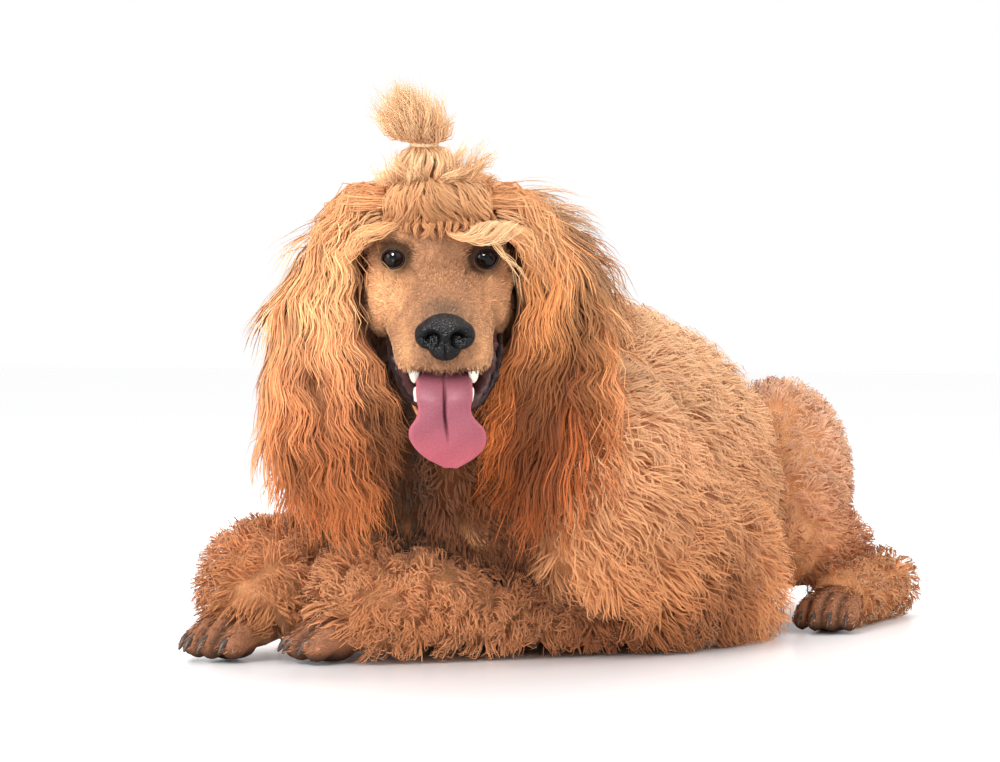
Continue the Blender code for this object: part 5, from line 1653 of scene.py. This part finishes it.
# How far the lower jaw hangs to one side, and places with radii of the lip from a corner towards the chin
JAW_ASIDE = 0.28
LIP_HALF = (
    (3.75, -2.2, -5.0, 0.22),
    (3.7, -3.2, -5.5, 0.28),
    (3.5, -4.1, -6.3, 0.33),
    (3.0, -5.3, -7.5, 0.34),
    (2.3, -7.0, -8.25, 0.32),
    (1.2, -8.3, -8.65, 0.30),
)


def lip_tube(name, half, middle, flatten, ripple, material, slot_name):
    """A tube along the lower jaw from one corner of the mouth round the chin to the other."""
    knots = [(-x, y, z, r) for x, y, z, r in half] + [middle] + list(half[::-1])
    dense = smooth_path(knots, len(ripple)) + (JAW_ASIDE, 0, 0, 0)
    obj = tube(name, place(HEAD, dense[:, :3]), dense[:, 3] * CM, ripple.shape[1], flatten, ripple)
    return finish_piece(obj, material, slot_name)


def make_lips(material):
    """The dark, crinkled lower lip."""
    k = np.arange(121)[:, None]
    crinkle = np.random.default_rng(61).normal(0, 0.08, (121, 18))
    crinkle = crinkle + 0.10 * np.sin(k * 1.1) + 0.12 * np.sin(k * 0.43)
    lip_tube("lips", LIP_HALF, (0.0, -8.65, -8.75, 0.34), 0.9, crinkle, material, "nose_leather")


def make_gums(material):
    """Moist dark flesh inside the lower lip, rough with small points, where the teeth stand."""
    half = [(x * 0.84, y - 0.1, z + 0.22, r * 1.6) for x, y, z, r in LIP_HALF]
    papillae = np.random.default_rng(62).normal(0, 0.09, (81, 12))
    papillae = papillae + 0.08 * np.sin(np.arange(81)[:, None] * 0.9)
    lip_tube("gums", half, (0.0, -8.1, -8.5, 0.32), 1.0, papillae, material, "tongue_pink")


# Along the middle of the tongue: Y, Z, half its width and half its thickness
TONGUE_PATH = (
    (-3.0, -6.1, 1.5, 0.42),
    (-5.5, -6.2, 1.6, 0.45),
    (-7.8, -6.35, 1.75, 0.45),
    (-9.4, -6.75, 1.85, 0.42),
    (-10.15, -7.5, 1.85, 0.38),
    (-10.2, -8.2, 1.74, 0.36),
    (-10.15, -8.8, 1.95, 0.36),
    (-10.0, -9.5, 2.45, 0.36),
    (-9.75, -10.3, 2.55, 0.35),
    (-9.5, -11.1, 2.2, 0.32),
    (-9.25, -11.8, 1.45, 0.27),
    (-9.05, -12.4, 0.5, 0.18),
)


def make_tongue(material):
    """A flat strap that turns down over the lip, with a deep middle groove and edges that curl."""
    dense = smooth_path(TONGUE_PATH, 90)
    number = np.arange(len(dense))[:, None]
    share = number / (len(dense) - 1)
    centre = np.concatenate([0.45 * smoothstep(0.45, 0.95, share), dense[:, :2]], axis=1)
    out = np.cross(unit(np.gradient(centre, axis=0)), (1.0, 0.0, 0.0))
    half, thick = np.maximum(dense[:, 2:3], 0.1), dense[:, 3:]
    a = math.tau * np.arange(96) / 96
    a = a + 0.4 * np.sin(2 * a)
    x = np.sign(np.cos(a)) * np.abs(np.cos(a)) ** 0.9 * half
    lift = np.sin(a) * thick
    top = smoothstep(0.2, 0.4, share) * smoothstep(0.80, 0.55, share) * (lift > 0)
    groove = 0.42 * top * (0.65 * hill((x, 0, 0.09)) + 0.35 * hill((x, 0, 0.45)))
    curl = 0.2 * (x / half) ** 2 + 0.05 * np.sin(number * 0.21 + x * 1.6) - 0.10 * (np.abs(x) / half) ** 6
    points = centre[:, None] + x[:, :, None] * (1, 0, 0) + out[:, None] * (lift - groove + curl)[:, :, None]
    obj = ringed("tongue_piece", place(HEAD, points))
    colour = mix((0.27, 0.080, 0.105), (0.38, 0.086, 0.110), smoothstep(0.5, 0.95, share))
    colour = mix(colour, (0.46, 0.11, 0.13), smoothstep(0.85, 1.0, np.abs(x) / half) * 0.6)
    # Painted shade in the middle groove.
    colour = mix(colour, (0.06, 0.008, 0.014), hill((x, 0, 0.10)) * top * 0.95)
    paint(obj.data, colour.reshape(-1, 3))
    finish_piece(obj, material, "tongue_pink", "tongue")


def make_teeth(material):
    """Canines: blunt tapered cones, slightly bent."""
    for side, sign in SIDES.items():
        for kind, root, tip, radius in (
            ("upper", (2.0, -8.7, -4.6), (1.95, -9.05, -6.7), 0.43),
            ("lower", (1.7, -8.5, -8.0), (1.86, -8.95, -7.0), 0.25),
        ):
            start, end = np.array(root) * (sign, 1, 1), np.array(tip) * (sign, 1, 1)
            s = np.linspace(0, 1, 16)[:, None]
            path = start + (end - start) * s + np.array((0, 0.18, 0)) * (s * (1 - s)) * 4 * 0.3
            radii = radius * np.sqrt(np.clip(1 - s[:, 0] ** 3.6, 0.02, 1)) * CM
            name = f"tooth_{kind}_{side}"
            finish_piece(tube(name + "_piece", place(HEAD, path), radii, 16), material, "tooth_enamel", name)


def make_claws(material):
    """Curved claws, thick at the root, that rest on the floor with their points."""
    for name, (wrist, heading, length, scale) in PAWS.items():
        matrix = paw_frame(wrist, heading, scale)
        for number, (_, _, tip) in enumerate(toe_lines(length), 1):
            knots = (
                (tip[0], tip[1], 1.70, 0.27),
                (tip[0], tip[1] - 0.50, 1.68, 0.32),
                (tip[0], tip[1] - 1.00, 1.32, 0.26),
                (tip[0], tip[1] - 1.40, 0.75, 0.08),
            )
            dense = smooth_path(knots, 16)
            path, radii = place(matrix, dense[:, :3]), dense[:, 3] * CM * scale
            obj = tube(f"claw_piece_{name}_{number}", path, radii, 12, 0.8)
            node = "claw_" + name.replace("paw", "") + f"_{number}"
            finish_piece(obj, material, "claw_horn", node)


def make_bands(material):
    """Two hair elastics, ribbed round their section."""
    a, b = math.tau * np.arange(72)[:, None] / 72, math.tau * np.arange(10) / 10
    fat = 0.2 * (1 + 0.12 * np.sin(18 * a))
    for name, centre, radius in (("hair_band_lower", BAND_LOWER, 1.05), ("hair_band_upper", BAND_UPPER, 0.8)):
        reach = radius + fat * np.cos(b)
        loop = np.stack([np.cos(a) * reach, np.sin(a) * reach, fat * np.sin(b)], axis=2)
        obj = ringed(name + "_piece", place(HEAD, loop + centre), closed=True)
        finish_piece(obj, material, "hair_elastic", name)


# Stage

# Name, place, size and power
LAMPS = (
    ("key", (-0.2, -2.2, 1.9), 1.2, 34),
    ("catch", (0.5, -2.3, 1.0), 0.55, 170),
    ("fill", (2.2, -1.6, 0.9), 1.6, 10),
    ("low", (-0.9, -2.3, 0.45), 0.9, 16),
    ("rim_left", (-1.6, 1.2, 1.1), 1.2, 20),
    ("rim_right", (1.9, 1.4, 1.3), 1.2, 22),
    ("top", (-0.4, 0.5, 2.2), 1.5, 17),
)
LAMP_AIM = Vector((0.0, -0.1, 0.18))
LOW_AIM = Vector((-0.05, -0.2, 0.08))
CAMERA_AZIMUTH = math.radians(25)
CAMERA_PITCH = math.atan(59 / 3200)
CAMERA_DISTANCE = 2.25
CAMERA_HEIGHT = 0.24


def add_object(name, data, location, way):
    """A lamp or camera that looks the given way."""
    obj = bpy.data.objects.new(name, data)
    bpy.context.scene.collection.objects.link(obj)
    obj.location = location
    obj.rotation_euler = way.to_track_quat("-Z", "Y").to_euler()
    return obj


def make_stage():
    """A pale floor under a white sky, soft lamps all round and the camera of the photograph."""
    scene = bpy.context.scene
    scene.world = bpy.data.worlds.new("studio")
    scene.world.use_nodes = True
    background = scene.world.node_tree.nodes["Background"]
    background.inputs["Color"].default_value = (1.0, 1.0, 1.0, 1.0)
    background.inputs["Strength"].default_value = 1.0
    scene.view_settings.view_transform = "Standard"

    bm = bmesh.new()
    bmesh.ops.create_grid(bm, x_segments=1, y_segments=1, size=12.0)
    floor = object_from(bm, "floor")
    mat = bpy.data.materials.new("floor_white")
    mat.use_nodes = True
    shader = mat.node_tree.nodes["Principled BSDF"]
    shader.inputs["Base Color"].default_value = (0.96, 0.96, 0.97, 1.0)
    shader.inputs["Roughness"].default_value = 0.25
    shader.inputs["Specular IOR Level"].default_value = 0.3
    floor.data.materials.append(mat)

    for name, location, size, power in LAMPS:
        data = bpy.data.lights.new(name, "AREA")
        data.shape = "DISK"
        data.size = size
        data.energy = power
        aim = LOW_AIM if name == "low" else LAMP_AIM
        lamp = add_object(name, data, location, aim - Vector(location))
        # The catch lamp is only there for the lights in the eyes and on the wet nose
        lamp.visible_diffuse = name != "catch"

    camera = bpy.data.cameras.new("camera")
    camera.lens = 115.2
    camera.sensor_width = 36.0
    camera.clip_end = 50.0
    away = Vector((math.sin(CAMERA_AZIMUTH), -math.cos(CAMERA_AZIMUTH), 0))
    location = TRUNK @ (Vector((0.03, 0, CAMERA_HEIGHT)) + away * CAMERA_DISTANCE)
    look = -away * math.cos(CAMERA_PITCH) - Vector((0, 0, math.sin(CAMERA_PITCH)))
    scene.camera = add_object("camera", camera, location, look)


# The model


def make_forms():
    """The forms under the coat, on which its roots are drawn."""
    forms = {
        "trunk": melted("form_trunk", trunk_fore() + trunk_rear(), 0.6, 5),
        "neck": melted("form_neck", neck(), 0.6, 5),
        "tail": melted("form_tail", tail(), 0.4, 4),
        "pouf": melted("form_pouf", pouf_balls(), 0.3, 4),
    }
    for side in SIDES:
        forms["foreleg_" + side] = melted("form_foreleg", foreleg(side), 0.5, 4)
        forms["hindleg_" + side] = melted("form_hindleg", hindleg(side), 0.5, 4)
        forms["hindfoot_" + side] = melted("form_hindfoot", hindfoot(side), 0.4, 4)
        forms["ear_" + side] = melted("form_ear", ear_leather(side), 0.35, 4)
    forms.update({name: melted("form_" + name, paw(name), 0.2, 3) for name in PAWS})
    forms["face"] = make_head_skin()
    return forms


def grow_coat():
    """Every stretch of coat, on forms that are removed again."""
    forms = make_forms()
    body = trunk_fore() + trunk_rear()
    fores = [foreleg(side) for side in SIDES]
    hinds = [hindleg(side) for side in SIDES]
    grow_trunk(forms["trunk"], [neck()] + fores + hinds)
    grow_hindquarters(forms["trunk"], hinds, "coat_loins", 111, 3600)
    for number, side in enumerate(SIDES):
        tens = 10 * number
        thigh, ear = forms["hindleg_" + side], forms["ear_" + side]
        grow_hindquarters(thigh, [body, hindfoot(side)], "coat_thigh_" + side, 121 + tens, 4100)
        grow_foreleg(forms["foreleg_" + side], side, [body, neck(), paw("forepaw_" + side)], 141 + tens)
        grow_hindfoot(forms["hindfoot_" + side], side, [hindleg(side), paw("hindpaw_" + side)], 161 + tens)
        grow_ear(ear, side, [skull()], 221 + tens, 2700, False)
        grow_ear(ear, side, [skull()], 225 + tens, 1150, True)
    grow_tail(forms["tail"], 181)
    grow_mane(forms["neck"], [skull(), body])
    grow_pouf(forms["pouf"], 241)
    grow_tuft()
    grow_puff()
    grow_fringe()
    grow_temples()
    grow_face(forms["face"])
    grow_paws({name: forms[name] for name in PAWS})
    for form in forms.values():
        bpy.data.objects.remove(form)


def make_flesh():
    """The skin, in place of every node of flesh."""
    replaced = ["head", "jaw", "topknot", "neck", "torso", "tail"]
    for part in ("ear", "foreleg", "forepaw", "hindleg", "hindfoot", "hindpaw"):
        replaced += [f"{part}_{side}" for side in SIDES]
    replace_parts(make_skin(), *replaced)


def make_details():
    """Eyes, nose, mouth, claws and bands with their materials."""
    wet, hard = (0.75, 1.25), (0.7, 1.25)
    grooves = (0.25, 0.0004)
    make_eyes(surface("eye_iris", None, (700.0, 2.0), (0.7, 1.3), 0.06, 0.17))
    black = surface("lip_black", (0.012, 0.006, 0.006), (450.0, 3.0), wet, 0.34, 0.1, (0.4, 0.0012))
    make_lid_rims(black)
    pebbled = (0.8, 0.0008)
    make_nose(surface("nose_pebbles", None, (120.0, 3.0), (0.5, 1.8), 0.33, 0.13, pebbled, pebbles=850.0))
    make_lips(black)
    make_gums(surface("gum_pink", (0.058, 0.019, 0.018), (350.0, 3.0), wet, 0.32, 0.12, (0.4, 0.002)))
    make_tongue(surface("tongue_flesh", None, (900.0, 3.0), (0.88, 1.12), 0.5, 0.12, (0.4, 0.0004)))
    make_teeth(surface("enamel", (0.80, 0.74, 0.62), (90.0, 4.0), hard, 0.22, 0.4, grooves))
    horn = (0.075, 0.048, 0.036)
    make_claws(surface("horn", horn, (200.0, 4.0), hard, 0.4, 0.15, grooves, stretch=(4.0, 1.0, 4.0)))
    make_bands(surface("elastic", (0.75, 0.52, 0.30), (300.0, 4.0), hard, 0.5, 0.3, grooves))


make_stage()
grow_coat()
make_flesh()
make_details()
